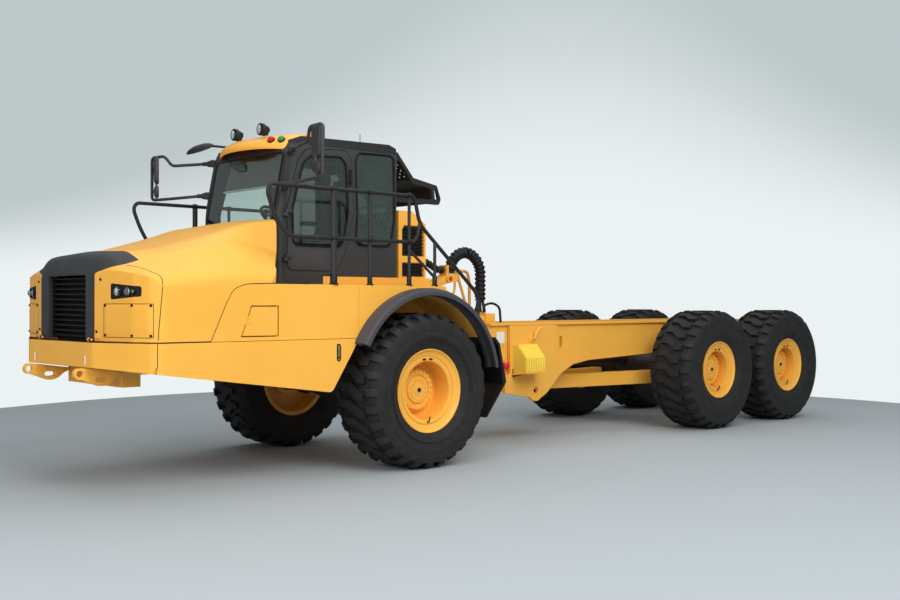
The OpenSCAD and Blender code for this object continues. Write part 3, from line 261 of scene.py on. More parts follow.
def bare_metal(name, colour, rough, streak_mm):
    finish, tree, bsdf = new_finish(name, colour, rough, Metallic=1.0)
    where = put(tree, "ShaderNodeTexCoord", out="Object")
    streak = put(tree, "ShaderNodeTexNoise", {"Vector": where, "Scale": per_mm(streak_mm), "Detail": 4.0})
    gloss = put(tree, "ShaderNodeMapRange", {"Value": streak, "To Min": rough * 0.7, "To Max": rough * 1.4})
    wire(bsdf, {"Roughness": gloss})
    return finish


dark_casting = rippled("sand_cast_iron_painted", "#2B2825", 0.55, 12, 4.0, 0.35, IOR=1.5, Specular_IOR_Level=0.3)
rod_chrome = bare_metal("hard_chrome_rod", "#C9CBCE", 0.10, 30)
zinc_plate = bare_metal("zinc_plated_steel", "#A9A794", 0.34, 20)
black_oxide = bare_metal("black_oxide_steel", "#2A2A2C", 0.42, 20)
lamp_film = bare_metal("aluminium_film_reflector", "#E6E8EA", 0.08, 15)
mirror_film = bare_metal("silvered_mirror_film", "#D7DCDD", 0.03, 200)
print("metals made")

# %% [markdown]
# ### Glass and lamps
# The panes are laminated float glass with a green-grey tint from iron in the melt. Lamp lenses are clear
# polycarbonate, and the two marker lamps are dyed acrylic. A faint waviness, half a metre long, keeps the panes'
# reflections from being too perfect.

# %% Glass and lamps
def clear_pane(name, tint, rough, ior, clear=1.0):
    return rippled(name, tint, rough, 500, 1.0, 0.02, IOR=ior, Transmission_Weight=clear)


cab_pane = clear_pane("laminated_float_glass", "#DCE8E4", 0.0, 1.52)
lamp_lens = clear_pane("clear_polycarbonate_lens", "#F2F5F6", 0.04, 1.58)
red_lens = clear_pane("dyed_acrylic_red", "#C8262C", 0.12, 1.49, 0.1)
green_lens = clear_pane("dyed_acrylic_green", "#2F8A52", 0.12, 1.49, 0.1)
print("glass made")

# %% [markdown]
# ### Woven cloth
# The seat is upholstered in a woven polyester with a thread of about 1 mm, drawn at 6 mm. The sun blind is a
# coarser weave. Two crossed waves make the weave, and their product shows where one thread lies over the other.

# %% Woven cloth
def woven_cloth(name, colour, dark, thread_mm):
    finish, tree, bsdf = new_finish(name, colour, 0.85, Sheen_Weight=0.3)
    where = put(tree, "ShaderNodeTexCoord", out="Object")
    warp, weft = [put(tree, "ShaderNodeTexWave", {"Vector": where, "Scale": per_mm(thread_mm) / 6.28}, "Fac",
                      bands_direction=direction) for direction in ("Y", "Z")]
    weave = put(tree, "ShaderNodeMath", {0: warp, 1: weft}, operation="MULTIPLY")
    tint = put(tree, "ShaderNodeMix", {"Factor": weave, "A": linear(dark), "B": linear(colour)}, "Result",
               data_type="RGBA")
    bump = put(tree, "ShaderNodeBump", {"Height": weave, "Strength": 0.4, "Distance": 0.002})
    wire(bsdf, {"Base Color": tint, "Normal": bump})
    return finish


seat_cloth = woven_cloth("woven_polyester_grey", "#43474B", "#1E2022", 6)
blind_cloth = woven_cloth("woven_polyester_blind", "#6C6B60", "#4B4A42", 8)
print("cloth made")

# %% [markdown]
# ### Grey-green pane layers
# The left panes carry a thin grey-green layer that is partly see-through. It bends no
# light: the shader mixes a grey-green face with the view behind it. How much it covers varies a little over 300 mm.

# %% Grey-green pane layers
def pane_layer(name, colour, cover):
    finish, tree, bsdf = new_finish(name, colour, 0.25, IOR=1.5, Specular_IOR_Level=0.3)
    where = put(tree, "ShaderNodeTexCoord", out="Object")
    cloud = put(tree, "ShaderNodeTexNoise", {"Vector": where, "Scale": per_mm(300), "Detail": 2.0})
    amount = put(tree, "ShaderNodeMapRange", {"Value": cloud, "To Min": cover - 0.08, "To Max": cover + 0.08})
    wire(bsdf, {"Alpha": amount})
    return finish


door_film = pane_layer("pane_layer_grey", "#4A4F4C", 0.60)
side_film = pane_layer("pane_layer_green", "#5A675F", 0.74)
print("films made")

# %% [markdown]
# ## Finishes and soft edges on the CAD solids
# Every CAD solid keeps its mesh. Real sheet metal has a folded or ground edge of a few millimetres, which catches a
# line of light. Modifiers give that: Weld joins the faces that CAD exports apart, a planar Decimate removes the
# triangles inside flat faces, Bevel rounds the edges, and Weighted Normal keeps flat faces flat. A small geometry
# node group clears the imported normals first, so that the faceted hood shades as one smooth skin.

# %% Shading group
SMOOTH_BELOW, FLAT_BELOW = math.radians(32), math.radians(0.4)
WELD_WITHIN = 0.0003
shading = bpy.data.node_groups.new("smooth_by_edge_angle", "GeometryNodeTree")
for way in ("INPUT", "OUTPUT"):
    shading.interface.new_socket("Mesh", in_out=way, socket_type="NodeSocketGeometry")
start = put(shading, "NodeGroupInput")
angle = put(shading, "GeometryNodeInputMeshEdgeAngle", out="Unsigned Angle")
sharp = put(shading, "FunctionNodeCompare", {"A": angle, "B": SMOOTH_BELOW}, data_type="FLOAT",
            operation="GREATER_THAN")
normals = put(shading, "GeometryNodeSetMeshNormal", {"Mesh": start, "Edge Sharpness": sharp}, mode="SHARPNESS")
put(shading, "NodeGroupOutput", {0: normals})


def soften(obj, edge):
    weld = obj.modifiers.new("join_faces", "WELD")
    weld.merge_threshold = WELD_WITHIN
    flat = obj.modifiers.new("flat_faces", "DECIMATE")
    flat.decimate_type = "DISSOLVE"
    flat.angle_limit = FLAT_BELOW
    if edge > 0:
        bevel = obj.modifiers.new("soft_edge", "BEVEL")
        bevel.width = edge
        bevel.segments = 2
        bevel.limit_method = "ANGLE"
        bevel.angle_limit = SMOOTH_BELOW
        bevel.use_clamp_overlap = True
    obj.modifiers.new("shade", "NODES").node_group = shading
    obj.modifiers.new("even_normals", "WEIGHTED_NORMAL").keep_sharp = True


# %% Dress the CAD solids
WHEELS = {name[:-5]: Vector(joint["pos_m"]) for name, joint in joints.items() if name.startswith("wheel_")}
dress = {                                        # the width of each solid's soft edge, in millimetres
    yellow_enamel: {"front_frame": 4, "carriers": 3, "bumper": 6, "tow_lugs": 5, "fenders": 6, "cab_base": 6,
                    "cab_visor": 8, "rear_tower": 6, "hood_shell": 5, "filler_flap": 3, "hitch_yoke": 5,
                    "rear_frame": 5, "hoist_lugs": 5, "hinge_brackets": 5, "drawbar": 6, "walking_beams": 6,
                    "hose_block": 5},
    charcoal_coat: {"cab_shell": 6, "door_frame": 4, "mirrors": 4},
    surround_plastic: {"grille_surround": 6},
    lip_rubber: {"arch_trims": 6},
    black_plastic: {"ladders": 5, "grille_slats": 2, "headlamp_housings": 2},
    dark_casting: {"front_axle": 5, "mid_axle": 5, "rear_axle": 5, "engine_block": 8, "radiator": 4,
                   "propshafts": 3},
    barrel_enamel: {"barrel_left": 3, "barrel_right": 3},
    rod_chrome: {"rod_left": 2, "rod_right": 2},
    chock_plastic: {"chocks": 4},
    cab_pane: {"cab_glass": 0, "door_glass": 0},
    lamp_lens: {"headlamp_lenses": 0},
    dash_plastic: {"operator_station": 6},
    hose_rubber: {"hose_loop": 0},
    black_coat: {"handrails": 0, "cab_roof": 8, "cab_guard": 3, "roof_lamps": 3},
    tyre_rubber: {wheel.replace("wheel", "tyre"): 4 for wheel in WHEELS},
}
dress[yellow_enamel].update({wheel.replace("wheel", "rim"): 3 for wheel in WHEELS})
for finish, edges in dress.items():
    for name, edge_mm in edges.items():
        nodes[name].data.materials.clear()
        nodes[name].data.materials.append(finish)
        soften(nodes[name], edge_mm / 1000.0)
left_out = sorted(set(nodes) - {name for edges in dress.values() for name in edges})
print("dressed", len(nodes) - len(left_out), "solids, left out", left_out)

# %% [markdown]
# ## Helpers for pieces
# A shape is a list of points and a list of faces. Shapes are joined into one mesh before a piece is made, so that a
# ring of bolts is one object. A piece rides on the body that carries it, and takes the slot of its finish. A place
# is a vector, or three numbers with x counted from the front axle.


def joined(shapes):
    points, faces = [], []
    for some_points, some_faces in shapes:
        first = len(points)
        points += some_points
        faces += [tuple(first + i for i in face) for face in some_faces]
    return points, faces


def piece(name, shape, finish, body, smooth_deg=35):
    """One object from a shape or a list of shapes."""
    points, faces = joined(shape) if isinstance(shape, list) else shape
    mesh = bpy.data.meshes.new(name)
    mesh.from_pydata([tuple(p) for p in points], [], faces)
    mesh.validate()
    work = bmesh.new()
    work.from_mesh(mesh)
    bmesh.ops.recalc_face_normals(work, faces=work.faces)
    work.to_mesh(mesh)
    work.free()
    mesh.shade_smooth()
    mesh.set_sharp_from_angle(angle=math.radians(smooth_deg))
    mesh.materials.append(finish)
    obj = bpy.data.objects.new(name, mesh)
    bpy.context.collection.objects.link(obj)
    if body:
        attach(obj, body)
    return obj


def at(place):
    return place if isinstance(place, Vector) else spot(*place)


def across(axis):
    axis = axis.normalized()
    side = axis.cross(Z)
    if side.length < 0.1:
        side = axis.cross(X)
    side.normalize()
    return side, axis.cross(side)


def circle(steps):
    return [math.tau * i / steps for i in range(steps)]


def skinned(rings, closed=False, ends=True):
    """A skin from ring to ring of points. It runs round in a loop, or its two ends are filled."""
    n, count = len(rings[0]), len(rings)
    faces = []
    for i in range(count if closed else count - 1):
        a, b = i * n, (i + 1) % count * n
        faces += [(a + k, a + (k + 1) % n, b + (k + 1) % n, b + k) for k in range(n)]
    if ends and not closed:
        faces += [tuple(range(n - 1, -1, -1)), tuple(range((count - 1) * n, count * n))]
    return [point for ring in rings for point in ring], faces


def turned(profile, centre, axis, steps=32, ends=True):
    """A shape turned round an axis from (radius, distance along the axis) pairs."""
    centre, axis = at(centre), axis.normalized()
    side, up = across(axis)
    return skinned([[centre + axis * along + (side * math.cos(a) + up * math.sin(a)) * radius for a in circle(steps)]
                    for radius, along in profile], ends=ends)


def hex_bolt(centre, axis, size):
    """Washer, six-sided head with a turned chamfer, and a flat crown."""
    washer = turned([(size * 1.05, 0.0), (size * 1.05, size * 0.16)], centre, axis, 20)
    head = [(size * 0.86, size * 0.16), (size * 0.86, size * 0.66), (size * 0.68, size * 0.78)]
    return joined([washer, turned(head, centre, axis, 6)])


def rounded_plate(centre, normal, up, width, height, thick, corner, steps=5, crown=0.0, levels=None):
    """A plate with round corners that stands on a surface. levels are (lift, inset) pairs of its edge."""
    centre, normal = at(centre), normal.normalized()
    up = (up - normal * up.dot(normal)).normalized()
    side = up.cross(normal)
    corner = min(corner, width / 2 - 1e-5, height / 2 - 1e-5)
    chamfer = min(thick * 0.5, corner * 0.5, 0.004)
    levels = levels or ((0.0, 0.0), (thick - chamfer, 0.0), (thick, chamfer))
    rings = []
    for lift, inset in levels:
        rings.append([])
        for cx, cy, first in ((1, 1, 0), (-1, 1, 90), (-1, -1, 180), (1, -1, 270)):
            for k in range(steps + 1):
                a = math.radians(first + 90.0 * k / steps)
                x = cx * (width / 2 - corner) + (corner - inset) * math.cos(a)
                y = cy * (height / 2 - corner) + (corner - inset) * math.sin(a)
                rings[-1].append(centre + side * x + up * y + normal * lift)
    points, faces = skinned(rings)
    top = faces.pop()                            # the top is a fan round a middle point that may be crowned
    points.append(centre + normal * (levels[-1][0] + crown))
    return points, faces + [(a, b, len(points) - 1) for a, b in zip(top, top[1:] + top[:1])]


def bent(points, radius, steps=6):
    """A route with each corner turned into an arc, as a tube bender does."""
    points = [at(p) for p in points]
    route = [points[0]]
    for before, corner, after in zip(points, points[1:], points[2:]):
        a, b = (before - corner), (after - corner)
        reach = min(radius, 0.45 * a.length, 0.45 * b.length)
        p, q = corner + a.normalized() * reach, corner + b.normalized() * reach
        for k in range(steps + 1):
            t = k / steps
            route.append(p * (1 - t) ** 2 + corner * 2 * t * (1 - t) + q * t ** 2)
    return route + [points[-1]]


def dense(route, step):
    """The route again, with points about one step apart."""
    route = [at(p) for p in route]
    out = [route[0]]
    for a, b in zip(route, route[1:]):
        count = max(1, round((b - a).length / step))
        out += [a.lerp(b, (i + 1) / count) for i in range(count)]
    return out


def swept(route, radius, sides=14, closed=False):
    """A tube along a route. radius is a number or a function of the length along it and the angle round it."""
    route = [at(p) for p in route]
    count = len(route)
    tangents = []
    for i in range(count):
        ahead = route[(i + 1) % count] if closed or i < count - 1 else route[i]
        behind = route[i - 1] if closed or i > 0 else route[i]
        tangents.append((ahead - behind).normalized())
    side, up = across(tangents[0])
    rings, length = [], 0.0
    for i, centre in enumerate(route):
        if i:
            length += (centre - route[i - 1]).length
            turn = tangents[i - 1].rotation_difference(tangents[i])
            side, up = turn @ side, turn @ up
        rings.append([])
        for a in circle(sides):
            r = radius(length, a) if callable(radius) else radius
            rings[-1].append(centre + (side * math.cos(a) + up * math.sin(a)) * r)
    return skinned(rings, closed)


print("helpers ready")

# %% [markdown]
# ## Wheels
# Each rim is bolted to its hub by a ring of nuts, and the hub reduction's cover has a ring of bolts of its own. A
# valve stem passes through the rim's flat ring. The bolts are six-sided heads on washers, joined into one mesh for
# each wheel. Fine rings on the sidewall are where the mould's plates met.

# %% Hub bolts, valves and sidewall rings
RIM_FACE = 0.310                                 # outer plane of the rim, from the wheel's middle plane
FRONT_HUB = (0.200, 0.480 - 0.121)               # depth of the dish and radius of the valve
REAR_HUB = (0.146, 0.424 - 0.121)
BOLT_RINGS = ((20, 0.214, -0.020, 0.020), (14, 0.113, -0.001, 0.013), (22, 0.247, -0.066, 0.016))
MOULD_RINGS = ((0.585, 0.366), (0.612, 0.369), (0.700, 0.376))
for wheel, centre in WHEELS.items():
    outward = Y if centre.y > 0 else -Y
    dish, valve_r = FRONT_HUB if "front" in wheel else REAR_HUB
    cap = RIM_FACE - dish
    heads = []
    for count, radius, lift, size in BOLT_RINGS:
        for i in range(count):
            a = math.tau * (i + 0.5) / count
            place = centre + outward * (cap + lift) + X * radius * math.cos(a) + Z * radius * math.sin(a)
            heads.append(hex_bolt(place, outward, size))
    piece(wheel + "_nuts", heads, yellow_enamel, wheel)
    plug = turned([(0.024, 0.0), (0.024, 0.010), (0.018, 0.016), (0.009, 0.016), (0.009, 0.010)],
                  centre + outward * (cap + 0.008), outward, 24)
    piece(wheel + "_oil_plug", plug, black_oxide, wheel)
    foot = centre + outward * (RIM_FACE - 0.05) - Z * valve_r
    stem = swept(bent([foot, foot + outward * 0.03, foot + outward * 0.05 + Z * 0.06], 0.02), 0.008, 10)
    clip_plates = [rounded_plate(centre + outward * (RIM_FACE - 0.046) + Z * valve_r + X * x, outward, Z,
                                 0.05, 0.022, 0.008, 0.006) for x in (-0.05, 0.05)]
    piece(wheel + "_valve", [stem] + clip_plates, black_oxide, wheel)
    side_rings = []
    for radius, half in MOULD_RINGS:
        section = [(radius - 0.005, half - 0.006), (radius - 0.002, half + 0.003), (radius + 0.002, half + 0.003),
                   (radius + 0.005, half - 0.006)]
        side_rings.append(turned(section, centre, outward, 120, ends=False))
    piece(wheel + "_sidewall_rings", side_rings, tyre_rubber, wheel, 60)
print("wheel details on", len(WHEELS), "wheels")

# %% [markdown]
# ## Landing on CAD surfaces
# Screws, seams and plates have to sit on curved panels. A ray is cast at the solid as it shows, and the piece
# stands on the point that it hits, along the surface's own normal.

# %% Landing on CAD surfaces
STRIP_LIFT = 0.0015
FAR_AHEAD, FAR_LEFT, OVER_DECK = 6.0, 4.0, 2.35      # where rays start


def surface_of(name):
    shown = nodes[name].evaluated_get(bpy.context.evaluated_depsgraph_get())
    mesh = shown.to_mesh()
    points = [v.co.copy() for v in mesh.vertices]
    faces = [tuple(p.vertices) for p in mesh.polygons]
    shown.to_mesh_clear()
    return BVHTree.FromPolygons(points, faces)


def on_front(tree, y, z):
    """Where a level ray from in front of the machine meets the surface, and the normal there."""
    return tree.ray_cast(spot(FAR_AHEAD, y, z), -X)[:2]


def ribbon(landed, width):
    """A thin strip that lies on a surface along a route of places and normals."""
    route = [place for place, normal in landed]
    points, faces = [], []
    for i, (place, normal) in enumerate(landed):
        ahead = route[min(i + 1, len(route) - 1)] - route[max(i - 1, 0)]
        out = normal.cross(ahead).normalized() * width / 2
        for rise in (STRIP_LIFT, -STRIP_LIFT):
            points += [place + out + normal * rise, place - out + normal * rise]
    for i in range(len(route) - 1):
        a, b = 4 * i, 4 * i + 4
        faces += [(a + j, a + k, b + k, b + j) for j, k in ((0, 1), (1, 3), (3, 2), (2, 0))]
    end = 4 * (len(route) - 1)
    return points, faces + [(0, 2, 3, 1), (end, end + 1, end + 3, end + 2)]


def laid_strip(tree, route, width):
    return ribbon([tree.find_nearest(p)[:2] for p in route], width)


def smooth_route(points, steps=8):
    """Catmull-Rom curve through 2-D or 3-D points."""
    route = []
    for i in range(len(points) - 1):
        p0, p1 = points[max(i - 1, 0)], points[i]
        p2, p3 = points[i + 1], points[min(i + 2, len(points) - 1)]
        for k in range(steps):
            t = k / steps
            route.append(0.5 * (2 * p1 + (p2 - p0) * t + (2 * p0 - 5 * p1 + 4 * p2 - p3) * t * t
                                + (3 * p1 - p0 - 3 * p2 + p3) * t ** 3))
    return route + [points[-1]]


print("landing helpers ready")

# %% [markdown]
# ## Headlamps
# Each lamp is a bowl with an aluminium film behind a domed lens, held by a black ring. The lamps stand in a black
# pocket of the hood's nose and follow its slant. Bowl, ring and lens are turned shapes, as they are when moulded.

# %% Headlamps
HOOD_FRONT, LAMP_Z = 3.548, 2.004
LAMP_TURN = math.radians(10.5)
LAMPS = ((1.015, 0.058), (1.165, 0.048), (1.250, 0.026))         # place across and radius
lens_shapes, bowl_shapes, ring_shapes = [], [], []
for side in BOTH_SIDES:
    axis = Vector((math.cos(LAMP_TURN), side * math.sin(LAMP_TURN), 0))
    for y, r in LAMPS:
        base = spot(HOOD_FRONT - (y - 0.645) * math.tan(LAMP_TURN) - 0.016, side * y, LAMP_Z)
        ring_shapes.append(turned([(r, 0.0), (r, 0.026), (r - 0.003, 0.030), (r - 0.009, 0.028), (r - 0.010, 0.001),
                                   (r - 0.02, 0.0)], base, axis, 40))
        bowl_shapes.append(turned([(r - 0.011, 0.024), (r * 0.72, 0.010), (r * 0.45, 0.005), (r * 0.2, 0.004),
                                   (r * 0.18, 0.013), (r * 0.06, 0.016)], base, axis, 40, ends=False))
        lens_shapes.append(turned([(r - 0.0105, 0.0245), (r - 0.011, 0.028), (r * 0.72, 0.033), (r * 0.4, 0.036),
                                   (r * 0.02, 0.037)], base, axis, 40))
piece("headlamp_bowls", bowl_shapes, lamp_film, "hood")
piece("headlamp_rings", ring_shapes, black_plastic, "hood")
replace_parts(piece("headlamp_domes", lens_shapes, lamp_lens, "hood"), "headlamp_lenses")
print("headlamps:", len(lens_shapes))

# %% [markdown]
# ## Nose
# A seam parts the hood's nose from its side panel, and a screwed access plate sits below the lamps on each side. A
# near-black sheet behind the grille's slats is painted shade for the dark bay behind them. Each of these is thin, so
# it is a ribbon or a plate that lies on the CAD surface.

# %% Seams and access plates on the hood
def curved_plate(tree, ys, zs, lift, columns=24, rows=6):
    """A sheet that follows the nose, from rays cast at it from in front, with its edges turned down to it."""
    points, faces = [], []
    for j in range(rows + 1):
        for i in range(columns + 1):
            place, normal = on_front(tree, ys[0] + (ys[1] - ys[0]) * i / columns, zs[0] + (zs[1] - zs[0]) * j / rows)
            edge = i in (0, columns) or j in (0, rows)
            points.append(place + normal * (-0.001 if edge else lift))
    for j in range(rows):
        for i in range(columns):
            k = j * (columns + 1) + i
            faces.append((k, k + 1, k + columns + 2, k + columns + 1))
    return points, faces


hood_skin = surface_of("hood_shell")
SEAM = [(3.384, 1.006, 2.259), (3.309, 1.161, 2.232), (3.274, 1.314, 2.189), (3.251, 1.415, 2.153),
        (3.248, 1.460, 2.117), (3.255, 1.486, 2.071), (3.272, 1.489, 1.875), (3.290, 1.480, 1.640),
        (3.294, 1.478, 1.535)]
PLATE_Y, PLATE_Z = (0.800, 1.450), (1.560, 1.884)
PLATE_CORNERS = [(PLATE_Y[i], PLATE_Z[j]) for i, j in ((0, 0), (1, 0), (1, 1), (0, 1))]
SCREWS = [(y, z) for z in (1.580, 1.868) for y in (0.825, 1.230, 1.432)] + [(0.751, 2.124), (0.689, 1.612)]
seams, plates, screws, tabs = [], [], [], []
for side in BOTH_SIDES:
    route = smooth_route([spot(x, side * y, z) for x, y, z in SEAM], 6)
    seams.append(laid_strip(hood_skin, route, 0.007))
    plates.append(curved_plate(hood_skin, (side * PLATE_Y[0], side * PLATE_Y[1]), PLATE_Z, 0.005))
    for (y0, z0), (y1, z1) in zip(PLATE_CORNERS, PLATE_CORNERS[1:] + PLATE_CORNERS[:1]):
        seams.append(ribbon([on_front(hood_skin, side * (y0 + (y1 - y0) * t / 20), z0 + (z1 - z0) * t / 20)
                             for t in range(21)], 0.005))
    for y, z in SCREWS:
        place, normal = on_front(hood_skin, side * y, z)
        screws.append(turned([(0.013, 0.0), (0.013, 0.007), (0.009, 0.010), (0.003, 0.010)],
                             place + normal * 0.003, normal, 16))
    place, normal = on_front(hood_skin, side * 0.700, 1.560)
    tabs.append(rounded_plate(place - normal * 0.002, normal, Z, 0.075, 0.045, 0.014, 0.01))
# Painted shade: a near-black sheet just behind the slats stands for the dark of the bay behind the grille.
slat_low, slat_high = [Vector(corner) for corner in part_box("grille_slats")]
shade_sheet_centre = (slat_low + slat_high) / 2
shade_sheet_centre.x = slat_low.x - 0.014
grille_shade_sheet = rounded_plate(shade_sheet_centre, X, Z, slat_high.y - slat_low.y + 0.03, slat_high.z - slat_low.z + 0.06,
                              0.008, 0.03)
piece("grille_shade_sheet", grille_shade_sheet, gasket_and_shade_black, "hood")
piece("hood_seams", seams, seam_shadow, "hood")
piece("hood_access_plates", plates, yellow_enamel, "hood", 50)
piece("hood_screws", screws, black_oxide, "hood")
piece("hood_hinge_tabs", tabs, yellow_enamel, "hood")
print("hood: screws", len(screws), "plates", len(plates))

# %% [markdown]
# ## Bumper and panel gaps
# Two pale reflector strips stand on the bumper, and its side panels are split by a joint line. Black seals fill the
# gaps between bumper, hood and fenders. Each side panel is held by a latch on a rubber pad, and the filler flap by a
# turned latch in a shallow dish.

# %% Bumper and panel gaps
bumper_skin = surface_of("bumper")
GAP_Y, SILL_Z, SEAL_R = 1.493, 1.5100, 0.0065
LATCH_X = 1.185
SILL_LINE = [(0.900, GAP_Y), (3.316, GAP_Y), (3.456, 1.196), (3.622, 0.768)]
FENDER_LINE = [(2.745, SILL_Z), (2.495, 2.032), (2.342, 2.086), (2.040, 2.0945), (1.570, 2.0945)]
strips, split_lines, latches, latch_pads = [], [], [], []
for y in (-0.61, 0.615):
    place, normal = on_front(bumper_skin, y, 1.325)
    strips.append(rounded_plate(place - normal * 0.001, normal, Z, 0.026, 0.09, 0.005, 0.008))
sill = [(x, y, SILL_Z) for x, y in SILL_LINE] + [(x, -y, SILL_Z) for x, y in reversed(SILL_LINE)]
seals = [swept(bent(sill, 0.10), SEAL_R, 8)]
for side in BOTH_SIDES:
    split = [spot(3.32, side * 1.5, 1.215 + 0.29 * i / 12) for i in range(13)]
    split_lines.append(laid_strip(bumper_skin, split, 0.006))
    seals.append(swept(bent([(x, side * GAP_Y, z) for x, z in FENDER_LINE], 0.12), SEAL_R, 8))
    latch_pads.append(rounded_plate((LATCH_X, side * 1.499, 1.360), Y * side, Z, 0.050, 0.190, 0.005, 0.022))
    latches.append(rounded_plate((LATCH_X, side * 1.503, 1.372), Y * side, Z, 0.022, 0.130, 0.009, 0.010))
    latches.append(hex_bolt((LATCH_X, side * 1.503, 1.285), Y * side, 0.011))
piece("panel_seals", seals, gasket_and_shade_black, "front_unit", 60)
piece("bumper_latch_pads", latch_pads, gasket_and_shade_black, "front_unit")
piece("bumper_latches", latches, zinc_plate, "front_unit")
flap_latch_x = min(2.304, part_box("filler_flap")[1][0] - FRONT_AXLE - 0.075)
latch_place = surface_of("filler_flap").ray_cast(spot(flap_latch_x, FAR_LEFT, 1.709), -Y)[0]
dish = turned([(0.054, -0.002), (0.054, 0.002), (0.050, 0.004), (0.046, 0.003), (0.044, 0.001), (0.022, 0.001),
               (0.020, 0.005), (0.006, 0.006)], latch_place, Y, 32)
piece("flap_latch", dish, yellow_enamel, "flap")
piece("bumper_reflectors", strips, blank_plate, "front_unit")
piece("bumper_joint_lines", split_lines, seam_shadow, "front_unit")
print("bumper: strips", len(strips), "joint lines", len(split_lines), "seals", len(seals))

# %% [markdown]
# ## Cab outside
# Rubber gaskets close the gap round each pane. They are tubes along the outline of the pane's outer face, found in
# the CAD mesh itself, and the films on the left panes are cut to the same outline. The door has a pull handle in its
# pocket. The visor over the windscreen is a bowed skin through one section, and two marker lamps stand on it, beside
# the work lamps and the antenna of the roof.

# %% Gaskets and pane layers
MIN_PANE = 0.08                                  # square metres: a smaller face is an edge of the glass
FILM_INSIDE, FILM_THICK, GASKET_R = 0.016, 0.001, 0.009


def pane_outlines(name):
    """Outline of the outer face of each pane in a CAD node, as a list of points."""
    work = bmesh.new()
    work.from_mesh(nodes[name].data)
    bmesh.ops.remove_doubles(work, verts=work.verts, dist=WELD_WITHIN)
    bmesh.ops.dissolve_limit(work, angle_limit=math.radians(1), verts=work.verts, edges=work.edges)
    cab_middle = spot(0.6, 0.0, 3.1)
    found = [[v.co.copy() for v in face.verts] for face in work.faces
             if face.calc_area() > MIN_PANE and face.normal.dot(face.calc_center_median() - cab_middle) > 0]
    work.free()
    return found


PANES = (("cab_glass", "front_unit", side_film), ("door_glass", "door", door_film))
for node_name, body, finish in PANES:
    gaskets = [swept(outline, GASKET_R, 8, closed=True) for outline in pane_outlines(node_name)]
    piece(node_name + "_gaskets", gaskets, gasket_and_shade_black, body)
    print(node_name, "gaskets:", len(gaskets))
for node_name, body, finish in PANES:
    films = []
    for outline in pane_outlines(node_name):
        normal = (outline[1] - outline[0]).cross(outline[2] - outline[1]).normalized()
        if abs(normal.y) > 0.9 and outline[0].y > 0:
            films.append(skinned([[p - Y * inside for p in outline]
                                  for inside in (FILM_INSIDE, FILM_INSIDE + FILM_THICK)]))
    piece(node_name + "_film", films, finish, body)
    print(node_name, "films:", len(films))

# %% Door handle and roof lamps
PULL_X = 0.497
grip = bent([(PULL_X, y, z) for y, z in ((0.792, 3.290), (0.816, 3.300), (0.816, 3.410), (0.792, 3.420))], 0.014)
lock = turned([(0.012, 0.0), (0.012, 0.006), (0.009, 0.008)], (PULL_X, 0.804, 3.255), Y, 20)
piece("door_pull", [swept(grip, 0.009, 12), lock], black_plastic, "door")
WORK_LAMPS = (("work_lamp_rings", black_plastic, [(0.070, -0.002), (0.071, 0.010), (0.066, 0.014), (0.058, 0.012),
                                                  (0.057, 0.0)]),
              ("work_lamp_bowls", lamp_film, [(0.057, 0.009), (0.040, 0.002), (0.018, 0.001), (0.016, 0.008),
                                              (0.004, 0.010)]),
              ("work_lamp_domes", lamp_lens, [(0.058, 0.010), (0.045, 0.016), (0.02, 0.019), (0.002, 0.020)]))
LAMP_FACES = ((1.440, -0.190, 3.870), (1.440, 0.370, 3.870))
for name, finish, profile in WORK_LAMPS:
    piece(name, [turned(profile, face, X, 40) for face in LAMP_FACES], finish, "front_unit")
antenna_foot = spot(0.15, 0.55, 3.69)
antenna = [turned([(0.022, -0.003), (0.022, 0.006), (0.014, 0.03), (0.006, 0.045)], antenna_foot, Z, 20),
           swept([antenna_foot + Z * 0.04, antenna_foot + Z * 0.24], 0.004, 8)]
print("door handle and", len(WORK_LAMPS), "pieces of work lamps done")

# %% Visor and marker lamps
VISOR_Z, VISOR_BACK, VISOR_FRONT, VISOR_HALF, VISOR_ROUND, VISOR_ROWS = 3.800, 1.000, 1.555, 0.760, 1.180, 48
MARKER_Z, END_DROP = 3.735, 0.030
VISOR_UNDER = [(1.180, -0.025), (1.290, -0.070), (1.500, -0.118), (1.512, -0.150)]
VISOR_TOP = [(1.545, -0.158), (1.554, -0.120), (1.522, -0.068), (1.400, -0.005), (1.180, 0.034), (1.000, 0.040)]
section = [Vector(p) for p in VISOR_UNDER] + smooth_route([Vector(p) for p in VISOR_TOP], 5)
section.append(Vector((1.000, -0.020)))
rings = []
for i in range(VISOR_ROWS + 1):
    y = VISOR_HALF * (2.0 * i / VISOR_ROWS - 1.0)
    front = VISOR_FRONT - VISOR_ROUND * (1.0 - math.cos(math.asin(y / VISOR_ROUND)))
    squeeze = (front - VISOR_BACK) / (VISOR_FRONT - VISOR_BACK)
    drop = END_DROP * (y / VISOR_HALF) ** 4
    rings.append([spot(VISOR_BACK + (x - VISOR_BACK) * squeeze, y, VISOR_Z + z - drop) for x, z in section])
visor = skinned(rings)
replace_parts(piece("visor_shell", visor, yellow_enamel, "front_unit", 40), "cab_visor")
visor_skin = BVHTree.FromPolygons(*visor)
for name, finish, y in (("marker_lamp_red", red_lens, 0.521), ("marker_lamp_green", green_lens, 0.630)):
    place, normal = on_front(visor_skin, y, MARKER_Z)
    normal = normal if normal.x > 0 else -normal
    dome = turned([(0.038, 0.0), (0.038, 0.012), (0.032, 0.030), (0.018, 0.040), (0.002, 0.043)], place, normal, 28)
    piece(name, dome, finish, "front_unit")
    holder = turned([(0.044, -0.020), (0.046, 0.004), (0.044, 0.010), (0.039, 0.010), (0.037, 0.001)], place, normal,
                    28)
    piece(name + "_holder", holder, black_plastic, "front_unit")
piece("roof_antenna", antenna, black_plastic, "front_unit")
print("visor rows:", len(rings))

